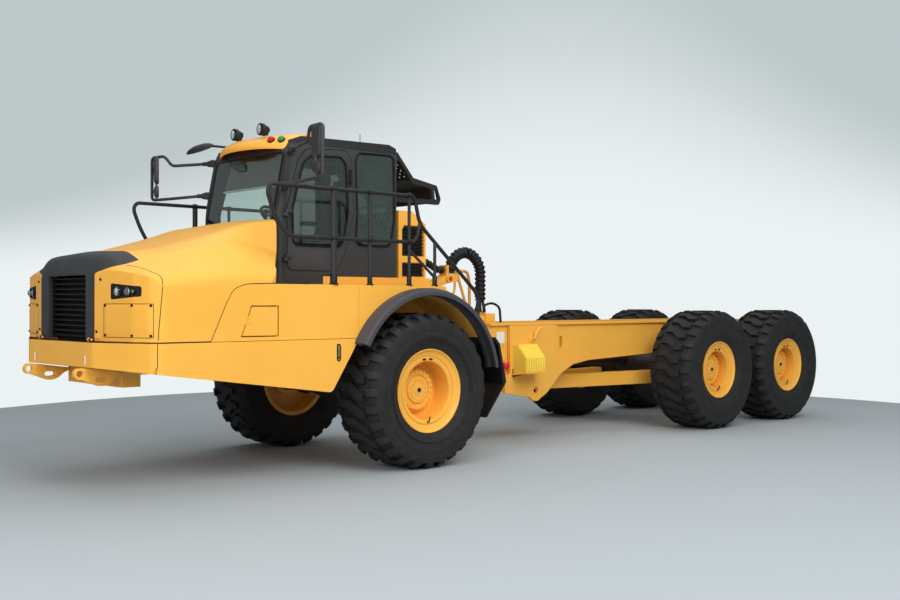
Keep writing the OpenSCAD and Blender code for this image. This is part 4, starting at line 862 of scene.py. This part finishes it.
# %% [markdown]
# ## Driver's station
# Through the glass one sees an air-sprung seat, a dash with a screen, a side console and a steering wheel. CAD
# holds one plain solid for all of them, so it is replaced here. Cushions are rounded blocks smoothed by
# subdivision, which swells them the way foam under a stretched cover does.

# %% Seat
def cushion(name, low, high, puff, lean):
    work = bmesh.new()
    bmesh.ops.create_cube(work, size=1.0)
    bmesh.ops.subdivide_edges(work, edges=work.edges, cuts=3, use_grid_fill=True)
    middle, size = (low + high) / 2, high - low
    for v in work.verts:
        bulge = (1 - (2 * v.co.x) ** 4) * (1 - (2 * v.co.y) ** 4)
        v.co = Vector((v.co.x * size.x, v.co.y * size.y, v.co.z * (size.z + puff * bulge)))
        v.co = middle + Matrix.Rotation(lean, 3, "Y") @ v.co
    mesh = bpy.data.meshes.new(name)
    work.to_mesh(mesh)
    work.free()
    mesh.shade_smooth()
    mesh.materials.append(seat_cloth)
    obj = bpy.data.objects.new(name, mesh)
    bpy.context.collection.objects.link(obj)
    swell = obj.modifiers.new("swell", "SUBSURF")
    swell.levels = swell.render_levels = 2
    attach(obj, "front_unit")
    return obj


FLOOR_Z, SEAT_X = 2.260, 0.33
SEAT_LEAN, BACK_LEAN = math.radians(-4), math.radians(-7.5)
cushion("seat_cushion", spot(0.08, -0.25, 2.55), spot(0.58, 0.25, 2.69), 0.03, SEAT_LEAN)
cushion("seat_back", spot(0.035, -0.24, 2.64), spot(0.155, 0.24, 3.26), 0.0, BACK_LEAN)
cushion("seat_headrest", spot(-0.03, -0.14, 3.25), spot(0.06, 0.14, 3.42), 0.0, BACK_LEAN)
folds = [(0.15 - 0.02 * (i % 2), 0.05 + 0.02 * i) for i in range(10)]
bellows = turned([(0.16, 0.0), (0.16, 0.03)] + folds + [(0.17, 0.26)], (SEAT_X, 0, FLOOR_Z), Z, 32)
pan = rounded_plate((SEAT_X, 0, FLOOR_Z + 0.25), Z, X, 0.46, 0.48, 0.05, 0.06)
arms = [swept(bent([(0.06, s * 0.275, 2.90), (0.10, s * 0.275, 2.885), (0.42, s * 0.275, 2.885)], 0.04), 0.03, 12)
        for s in BOTH_SIDES]
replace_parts(piece("seat_base", [bellows, pan] + arms, dash_plastic, "front_unit"), "operator_station")
print("seat done, bellows folds", len(folds))

# %% Dash, wheel, console and blind
DASH = [(1.20, FLOOR_Z), (1.19, 2.52), (1.13, 2.62), (1.16, 2.66), (1.30, 2.69), (1.43, 2.645), (1.44, FLOOR_Z)]
DASH_HALF, DASH_ROWS = 0.68, 12
rings = []
for i in range(DASH_ROWS + 1):
    y = -DASH_HALF + 2 * DASH_HALF * i / DASH_ROWS
    crown = 0.03 * (1 - (y / DASH_HALF) ** 2)
    rings.append([spot(x, y, z + (crown if z > 2.6 else 0.0)) for x, z in DASH])
piece("dash", skinned(rings), dash_plastic, "front_unit", 30)
WHEEL_TILT = math.radians(40)
wheel_hub, wheel_axis = spot(1.0, 0.0, 2.905), Vector((-math.sin(WHEEL_TILT), 0, math.cos(WHEEL_TILT)))
side_axis, up_axis = across(wheel_axis)
hoop = [wheel_hub + (side_axis * math.cos(a) + up_axis * math.sin(a)) * 0.19 for a in circle(48)]
spokes = [swept([wheel_hub, wheel_hub + (side_axis * math.cos(a) + up_axis * math.sin(a)) * 0.185], 0.012, 10)
          for a in (math.radians(90), math.radians(210), math.radians(330))]
column = swept([wheel_hub + wheel_axis * 0.01, (1.24, 0.0, 2.60)], 0.035, 16)
boss = turned([(0.055, -0.01), (0.055, 0.012), (0.03, 0.022)], wheel_hub, wheel_axis, 28)
piece("steering_wheel", [swept(hoop, 0.018, 12, closed=True), column, boss] + spokes, black_plastic, "front_unit")
screen = rounded_plate((1.15, -0.42, 2.80), Vector((-1, 0.4, 0.15)), Z, 0.20, 0.15, 0.03, 0.015)
piece("dash_screen", screen, black_plastic, "front_unit")
console = rounded_plate((0.40, -0.45, FLOOR_Z + 0.30), Z, X, 0.60, 0.22, 0.16, 0.05)
lever = swept(bent([(0.55, -0.42, 2.72), (0.55, -0.42, 2.82), (0.58, -0.42, 2.86)], 0.03), 0.013, 10)
piece("side_console", [console, lever], dash_plastic, "front_unit")
blind = rounded_plate((1.330, 0.08, 3.40), Vector((1, 0, 0.30)), Z, 1.14, 0.38, 0.004, 0.01)
piece("sun_blind", blind, blind_cloth, "front_unit")
piece("sun_blind_rod", swept([(1.392, -0.49, 3.212), (1.392, 0.65, 3.212)], 0.012, 10), blank_plate, "front_unit")
print("driver's station done, spokes", len(spokes))

# %% [markdown]
# ## Mirrors
# Mirror glass is set in the rear face of each head, and the heads hang in a loop of bent tube. A round mirror over the
# right of the windscreen shows the ground in front. Heads are plates with a rounded back, given level by level.

# %% Mirrors
mirror_glass, mirror_bolts, mirror_heads, mirror_tubes = [], [], [], []
HEAD_LEVELS = ((0.0, 0.004), (0.006, 0.0), (0.030, 0.0), (0.046, 0.008), (0.056, 0.022), (0.060, 0.040))
HEAD_X, HEAD_Y, TUBE_X = 1.602, 1.725, 1.640
HEADS = ((3.580, 0.190, 0.350), (3.3025, 0.165, 0.140))          # height, and size across and up
MIRROR_LOOP = [(1.375, 0.940, 3.603), (1.560, 1.460, 3.610), (1.610, 1.560, 3.740), (TUBE_X, 1.830, 3.740),
               (TUBE_X, 1.830, 3.200), (1.560, 1.460, 3.200), (1.455, 0.940, 3.203)]
for side in BOTH_SIDES:
    aim = -X if side > 0 else Vector((-0.88, 0.47, 0.0)).normalized()
    for z, width, height in HEADS:
        centre = spot(HEAD_X, side * HEAD_Y, z)
        mirror_heads.append(rounded_plate(centre, -aim, Z, width, height, 0.06, 0.055, 8, 0.004, HEAD_LEVELS))
        mirror_glass.append(rounded_plate(centre - aim * 0.002, aim, Z, width - 0.024, height - 0.024, 0.005, 0.045,
                                          8))
    mirror_tubes.append(swept(bent([(x, side * y, z) for x, y, z in MIRROR_LOOP], 0.06), 0.019, 14))
    mirror_tubes.append(swept([(TUBE_X, side * 1.715, 3.745), (TUBE_X, side * 1.715, 3.195)], 0.014, 12))
    for x, z in ((1.345, 3.595), (1.425, 3.195)):
        mirror_tubes.append(rounded_plate((x, side * 0.800, z), Y * side, Z, 0.100, 0.090, 0.024, 0.012))
        arm = [(x, side * 0.812, z), (x + 0.020, side * 0.900, z + 0.005), (x + 0.040, side * 0.990, z + 0.010)]
        mirror_tubes.append(swept(dense(arm, 0.02), lambda length, a: 0.038 - 0.012 * (length > 0.10), 16))
        for dx in (-0.038, 0.038):
            for dz in (-0.033, 0.033):
                mirror_bolts.append(hex_bolt((x + dx, side * 0.823, z + dz), Y * side, 0.008))
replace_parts(piece("mirror_heads", mirror_heads, charcoal_coat, "front_unit", 50), "mirrors")
piece("mirror_tubes", mirror_tubes, charcoal_coat, "front_unit", 50)
FRONT_MIRROR, MIRROR_DOWN = spot(1.585, -0.720, 3.735), Vector((-0.42, 0.0, -1.0)).normalized()
dome = turned([(0.168, 0.006), (0.172, 0.0), (0.166, -0.016), (0.135, -0.040), (0.075, -0.058), (0.010, -0.063)],
              FRONT_MIRROR, MIRROR_DOWN, 40)
arm_route = [FRONT_MIRROR - MIRROR_DOWN * 0.045, (1.42, -0.70, 3.795), (1.190, -0.66, 3.790)]
arm_foot = turned([(0.034, -0.010), (0.034, 0.012), (0.022, 0.020)], (1.20, -0.66, 3.770), Z, 20)
piece("front_mirror", [dome, swept(bent(arm_route, 0.05), 0.014, 12), arm_foot], black_plastic, "front_unit")
mirror_glass.append(turned([(0.160, 0.004), (0.120, 0.014), (0.060, 0.020), (0.004, 0.022)], FRONT_MIRROR,
                           MIRROR_DOWN, 40))
piece("mirror_glass", mirror_glass, mirror_film, "front_unit")
piece("mirror_bolts", mirror_bolts, black_oxide, "front_unit")
print("mirrors: glasses", len(mirror_glass), "bolts", len(mirror_bolts))

# %% [markdown]
# ## Walkway rails
# The walkway rails are one bent steel tube on each side with posts clamped to it, so they are swept along the bent
# route instead of jointed rods. Sleeves of black plastic cover the clamps and the feet of the posts.

# %% Walkway rails
DECK_Z, PAD_Z = 2.090, 1.740
RAIL_LOW, RAIL_TOP = DECK_Z + 0.500, DECK_Z + 1.030
RAIL_R, RAIL_Y = 0.022, 1.470
RAIL_LOOP = [(0.0, RAIL_TOP - 0.318), (0.040, RAIL_LOW + 0.06), (0.10, RAIL_LOW), (1.780, RAIL_LOW),
             (1.89, RAIL_LOW + 0.06), (1.990, RAIL_LOW + 0.230), (2.065, RAIL_TOP - 0.110),
             (2.065, RAIL_TOP - 0.045), (2.020, RAIL_TOP), (0.110, RAIL_TOP), (0.072, RAIL_TOP - 0.04),
             (0.0, RAIL_TOP - 0.318), (-0.880, DECK_Z - 0.045), (-0.940, DECK_Z - 0.13), (-0.940, PAD_Z)]
POSTS = ((1.230, 0.032), (0.733, 0.019), (0.159, 0.019))         # place along the deck and radius
BACK_POST = -0.234
rail_shapes, sleeve_shapes = [], []
for side in BOTH_SIDES:
    y = side * RAIL_Y
    rail_shapes.append(swept(bent([(x, y, z) for x, z in RAIL_LOOP], 0.10, 8), RAIL_R, 18))
    for x, r in POSTS:
        rail_shapes.append(swept([(x, y, DECK_Z), (x, y, RAIL_TOP)], r, 18))
    rail_shapes.append(swept([(0.159, y, RAIL_LOW - 0.09), (-0.240, y, DECK_Z + 0.095)], 0.017, 14))
    rail_shapes.append(swept([(BACK_POST, y, DECK_Z), (BACK_POST, y, DECK_Z + 0.510)], 0.019, 14))
    for x in [x for x, r in POSTS] + [BACK_POST]:
        r = 0.040 if x > 1 else 0.028
        sleeve_shapes.append(turned([(r + 0.012, 0.0), (r + 0.012, 0.012), (r, 0.018), (r, 0.11), (r - 0.004, 0.116)],
                                    (x, y, DECK_Z), Z, 20))
    for x, r in POSTS:
        for z in (RAIL_LOW, RAIL_TOP):
            sleeve_shapes.append(turned([(0.030, -0.028), (0.034, -0.022), (0.034, 0.022), (0.030, 0.028)],
                                        (x, y, z), X, 18))
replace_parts(piece("walkway_rails", rail_shapes, black_coat, "front_unit", 50), "handrails")
piece("rail_sleeves", sleeve_shapes, black_plastic, "front_unit")
print("rails: tubes", len(rail_shapes), "sleeves", len(sleeve_shapes))

# %% [markdown]
# ## Hoses over the hitch
# The steering and brake hoses leave the tower in one bundle, pass a clamp and cross the hitch in a high arch, so
# that they can twist when the machine bends and rolls. A spiral plastic wrap keeps them together. The wrap is a tube
# whose radius rises and falls along a helix. The arch is two meshes, its front half and its rear half, and neither
# rides on a body.

# %% Hoses over the hitch
HOSE_Y, HOSE_R, BEND_R = 0.160, 0.062, 0.290
ARCH_X, REST_Z, FOOT_Z = -1.970, 2.290, 1.770
FOOT_X = ARCH_X - BEND_R
WRAP_PITCH, ARC_STEPS = 0.060, 60


def wrapped(radius, depth):
    return lambda length, a: radius + depth * math.cos(math.tau * length / WRAP_PITCH + a)


BUNDLE = [(-0.725, 2.545), (-0.900, 2.545), (-1.300, 2.420), (-1.460, 2.335), (-1.560, 2.335)]
bundle = swept(dense(bent([(x, HOSE_Y, z) for x, z in BUNDLE], 0.12), 0.008), wrapped(0.044, 0.006), 20)
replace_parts(piece("hose_bundle", bundle, hose_rubber, "front_unit", 60), "hose_loop")
arc = [spot(ARCH_X + BEND_R * math.cos(math.pi * i / (2 * ARC_STEPS)), HOSE_Y,
            REST_Z + BEND_R * math.sin(math.pi * i / (2 * ARC_STEPS))) for i in range(2 * ARC_STEPS + 1)]
leg = dense([arc[-1], (FOOT_X, HOSE_Y, FOOT_Z + 0.16)], 0.007)[1:]
arch_wrap = wrapped(HOSE_R + 0.008, 0.009)
front_half = piece("hose_arch_front", swept(arc[:ARC_STEPS + 1], arch_wrap, 24), hose_rubber, None, 60)
rear_half = piece("hose_arch_rear", swept(arc[ARC_STEPS:] + leg, arch_wrap, 24), hose_rubber, None, 60)
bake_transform(front_half)
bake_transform(rear_half)
tails, fittings = [], []
for dx, dy in ((-0.03, -0.03), (0.03, -0.03), (-0.03, 0.03), (0.03, 0.03)):
    top = (FOOT_X + dx * 0.8, HOSE_Y + dy * 0.8, FOOT_Z + 0.18)
    foot = (FOOT_X + dx * 1.3, HOSE_Y + dy * 1.3, FOOT_Z - 0.002)
    tails.append(swept(dense([top, foot], 0.02), 0.019, 14))
    fittings.append(turned([(0.026, 0.0), (0.026, 0.022), (0.022, 0.026), (0.022, 0.06), (0.019, 0.066)], foot, Z, 6))
piece("hose_tails", tails, hose_rubber, "rear_unit")
piece("hose_fittings", fittings, black_oxide, "rear_unit")
clamp_disc = turned([(0.030, -0.004), (0.030, 0.006), (0.022, 0.010), (0.008, 0.010)],
                    (-1.600, HOSE_Y + 0.110, 2.218), Y, 24)
piece("hose_clamp_disc", clamp_disc, red_paint, "front_unit")
print("hoses: arch points", len(arc), "tails", len(tails))

# %% Hose guide behind the hitch
GUIDE_Y = -0.03
GUIDE_TUBES = (([(-1.86, 2.335), (-2.19, 2.335), (-2.235, 2.20), (-2.235, 1.60)], 0.07, 0.021),
               ([(-1.97, 2.335), (-1.95, 2.04), (-1.84, 1.95), (-1.80, 2.06)], 0.08, 0.017))
guide = [swept(bent([(x, GUIDE_Y, z) for x, z in route], bend), r, 14) for route, bend, r in GUIDE_TUBES]
guide.append(swept([(-1.99, GUIDE_Y, 2.33), (-2.20, GUIDE_Y, 1.78)], 0.020, 14))
piece("hose_guide", guide, yellow_enamel, "rear_unit", 50)
side_loop = bent([(-2.20, 0.29, 1.76), (-2.20, 0.29, 1.86), (-2.32, 0.33, 1.90), (-2.44, 0.36, 1.84),
                  (-2.46, 0.36, 1.625)], 0.07)
piece("hose_side_loop", swept(dense(side_loop, 0.02), 0.017, 14), hose_rubber, "rear_unit", 60)
print("hose guide tubes:", len(guide))

# %% [markdown]
# ## Rear frame
# The rails are welded boxes, and crescent-shaped welds show where inner plates meet the web. A lifting hook, a blank
# plate, two red shut-off handles and the chock tray's latch sit on the outside. Hooks and handles are bent rods and
# turned knobs, the welds are round beads.

# %% Rear frame
RAIL_FACE, HOIST_FACE = 0.640, 0.700
BEAD_R, BEAD_RIPPLE, BEAD_PITCH = 0.006, 0.001, 0.012
CRESCENTS = ([(-2.202, 1.341), (-2.252, 1.286), (-2.256, 1.232), (-2.217, 1.170)],
             [(-3.484, 1.437), (-3.545, 1.393), (-3.545, 1.321), (-3.493, 1.274)])
HOOK = [(-2.715, -0.01, 1.40), (-2.72, 0.06, 1.41), (-2.755, 0.065, 1.50), (-2.85, 0.06, 1.555)]
TRAY_LATCH = [(-2.36, 0.0, 0.985), (-2.36, 0.05, 0.985), (-2.50, 0.06, 1.005), (-2.52, 0.06, 0.93),
              (-2.38, 0.05, 0.915), (-2.36, 0.0, 0.915)]


def bead(length, a):
    return BEAD_R + BEAD_RIPPLE * math.cos(math.tau * length / BEAD_PITCH)


beads, hooks, knobs = [], [], []
for side in BOTH_SIDES:
    for crescent in CRESCENTS:
        route = smooth_route([spot(x, side * (RAIL_FACE + 0.001), z) for x, z in crescent], 8)
        beads.append(swept(route, bead, 10))
    hooks.append(swept(bent([(x, side * (HOIST_FACE + out), z) for x, out, z in HOOK], 0.05), 0.020, 14))
    hooks.append(turned([(0.050, 0.0), (0.050, 0.012), (0.035, 0.018)], (-2.715, side * HOIST_FACE, 1.40), Y * side,
                        24))
piece("frame_welds", beads, yellow_enamel, "rear_unit", 60)
piece("lifting_hooks", hooks, yellow_enamel, "rear_unit", 50)
for x in (-2.165, -2.240):
    valve = (x, RAIL_FACE, 1.045)
    knobs.append(turned([(0.012, -0.002), (0.012, 0.05)], valve, Y, 12))
    knobs.append(turned([(0.034, 0.045), (0.042, 0.053), (0.042, 0.066), (0.032, 0.076), (0.008, 0.078)], valve, Y,
                        24))
    knobs.append(swept([(x - 0.012, RAIL_FACE + 0.066, 1.10), (x + 0.012, RAIL_FACE + 0.066, 0.985)], 0.011, 12))
piece("shut_off_handles", knobs, red_paint, "rear_unit")
plate = rounded_plate((-2.175, RAIL_FACE - 0.001, 1.43), Y, Z, 0.150, 0.150, 0.004, 0.008)
piece("frame_blank_plate", plate, blank_plate, "rear_unit")
tray_latch = [swept(bent([(x, HOIST_FACE + out, z) for x, out, z in TRAY_LATCH], 0.02), 0.009, 10),
              rounded_plate((-2.365, HOIST_FACE - 0.001, 0.95), Y, Z, 0.045, 0.11, 0.014, 0.01)]
piece("tray_latch", tray_latch, black_oxide, "rear_unit")
print("rear frame: welds", len(beads), "hook parts", len(hooks))

# %% [markdown]
# ## Tower louvres and inner wings
# The tower behind the cab draws air through two louvred openings on each side. Each louvre is a folded blade, so a
# slanted plate stands for it, before a black screen. Behind each front wheel's arch a sheet closes the gap to the
# frame, so that mud stays out of the engine bay.

# %% Tower louvres and inner wings
TOWER_X, TOWER_SUNK, BLADE_PITCH = -0.520, 0.721, 0.042
louvres, wings = [], []
for side in BOTH_SIDES:
    for low, high in ((2.475, 2.840), (2.220, 2.385)):
        louvres.append(rounded_plate((TOWER_X, side * (TOWER_SUNK - 0.002), (low + high) / 2), Y * side, Z, 0.352,
                                     high - low - 0.006, 0.004, 0.01))
        count = int((high - low) / BLADE_PITCH)
        for i in range(count):
            z = low + (high - low) * (i + 0.5) / count
            louvres.append(rounded_plate((TOWER_X, side * (TOWER_SUNK + 0.014), z), Vector((0, side * 0.62, 0.78)),
                                         Vector((0, side, -0.8)), 0.345, 0.040, 0.004, 0.004))
    wings.append(rounded_plate((-0.020, side * 0.853, 1.740), Y * side, Z, 1.900, 0.580, 0.009, 0.08))
piece("tower_louvres", louvres, black_plastic, "front_unit")
piece("inner_wings", wings, yellow_enamel, "front_unit")
print("louvres:", len(louvres), "inner wings:", len(wings))

# %% [markdown]
# ## Walkway studs
# The decks beside the cab are punched with raised studs for grip. They are small domes in a staggered grid, with a
# clear border at the edge.

# %% Walkway studs
STUD_PITCH, ROW_PITCH, STUD_ROWS, STUD_COLUMNS = 0.055, 0.052, 9, 30
STUD_X, STUD_Y = 0.05, 0.93                      # the first stud, at the inner back corner of the deck
deck_skin = surface_of("fenders")
studs = []
for side in BOTH_SIDES:
    for row in range(STUD_ROWS):
        for column in range(STUD_COLUMNS):
            x = STUD_X + STUD_PITCH * (column + 0.5 * (row % 2))
            place, normal = deck_skin.ray_cast(spot(x, side * (STUD_Y + ROW_PITCH * row), OVER_DECK), -Z)[:2]
            if place is not None and normal.z > 0.99:
                studs.append(turned([(0.014, -0.001), (0.011, 0.004), (0.006, 0.006)], place, Z, 8))
piece("walkway_studs", studs, yellow_enamel, "front_unit", 60)
print("studs:", len(studs))

# %% [markdown]
# ## Studio
# The machine stands on a round pale floor in front of a pale wall. A large soft lamp stands at its left, a wide one
# hangs over it and a weak third fills the nose. The wall belongs to the world, so it takes no room: it is bright where
# it meets the floor and greys towards the top and the sides.

# %% Lamps and floor
FLOOR_RADIUS, FLOOR_STEPS = 9.6, 180
LAMP_PLACES = (("key", (5.0, 13.0, 10.0), (0.0, 0.0, 1.5), (10.0, 8.0), 1520),
               ("top", (-2.0, 0.0, 14.0), (-1.0, 0.0, 0.0), (24.0, 18.0), 1250),
               ("nose", (14.0, 5.0, 6.0), (3.0, 0.0, 1.5), (6.0, 5.0), 620))
for name, place, target, size, power in LAMP_PLACES:
    data = bpy.data.lights.new(name, "AREA")
    data.shape = "RECTANGLE"
    data.size, data.size_y = size
    data.energy = power
    lamp = bpy.data.objects.new(name, data)
    lamp.location = place
    lamp.rotation_euler = (Vector(target) - Vector(place)).to_track_quat("-Z", "Y").to_euler()
    lamp.visible_camera = lamp.visible_transmission = False
    bpy.context.collection.objects.link(lamp)
floor_mesh = bpy.data.meshes.new("studio_floor")
rim = [(FLOOR_RADIUS * math.cos(a), FLOOR_RADIUS * math.sin(a), 0.0) for a in circle(FLOOR_STEPS)]
floor_mesh.from_pydata(rim, [], [tuple(range(FLOOR_STEPS))])
floor = bpy.data.objects.new("studio_floor", floor_mesh)
bpy.context.collection.objects.link(floor)
floor_mesh.materials.append(new_finish("painted_floor_grey", "#A8B0B4", 0.75)[0])
print("floor ready, lamps", len(LAMP_PLACES))

# %% Wall
WALL_BRIGHT, WALL_DIM, SOFT_FILL = linear("#ECF2F3"), linear("#BEC8CA"), linear("#8B8F91")
FADE_LOW, FADE_HIGH, SIDE_FADE = 0.08, 0.33, 12.0        # heights of the fade, and how much faster at the sides
world = bpy.data.worlds.new("studio")
bpy.context.scene.world = world
world.use_nodes = True
tree = world.node_tree
aside = Vector((-look.y, look.x, 0)).normalized()
ahead = Vector((look.x, look.y, 0)).normalized()
heading = put(tree, "ShaderNodeTexCoord", out="Generated")
height = put(tree, "ShaderNodeSeparateXYZ", {0: heading}, "Z")
sideways = put(tree, "ShaderNodeVectorMath", {0: heading, 1: aside + ahead * 0.10}, "Value", operation="DOT_PRODUCT")
spread = put(tree, "ShaderNodeMath", {0: sideways, 1: 2.0}, operation="POWER")
narrow = put(tree, "ShaderNodeMath", {0: spread, 1: SIDE_FADE, 2: 1.0}, operation="MULTIPLY_ADD")
reach = put(tree, "ShaderNodeMath", {0: narrow, 1: height}, operation="MULTIPLY")
fade = put(tree, "ShaderNodeMapRange", {"Value": reach, "From Min": FADE_LOW, "From Max": FADE_HIGH},
           interpolation_type="SMOOTHSTEP")
wall = put(tree, "ShaderNodeMix", {"Factor": fade, "A": WALL_BRIGHT, "B": WALL_DIM}, "Result", data_type="RGBA")
rays = put(tree, "ShaderNodeLightPath").node.outputs
seen = put(tree, "ShaderNodeMath", {0: rays["Is Camera Ray"], 1: rays["Is Transmission Ray"]}, operation="MAXIMUM")
shown = put(tree, "ShaderNodeMix", {"Factor": seen, "A": SOFT_FILL, "B": wall}, "Result", data_type="RGBA")
wire(tree.nodes["Background"], {"Color": shown})
print("wall ready")
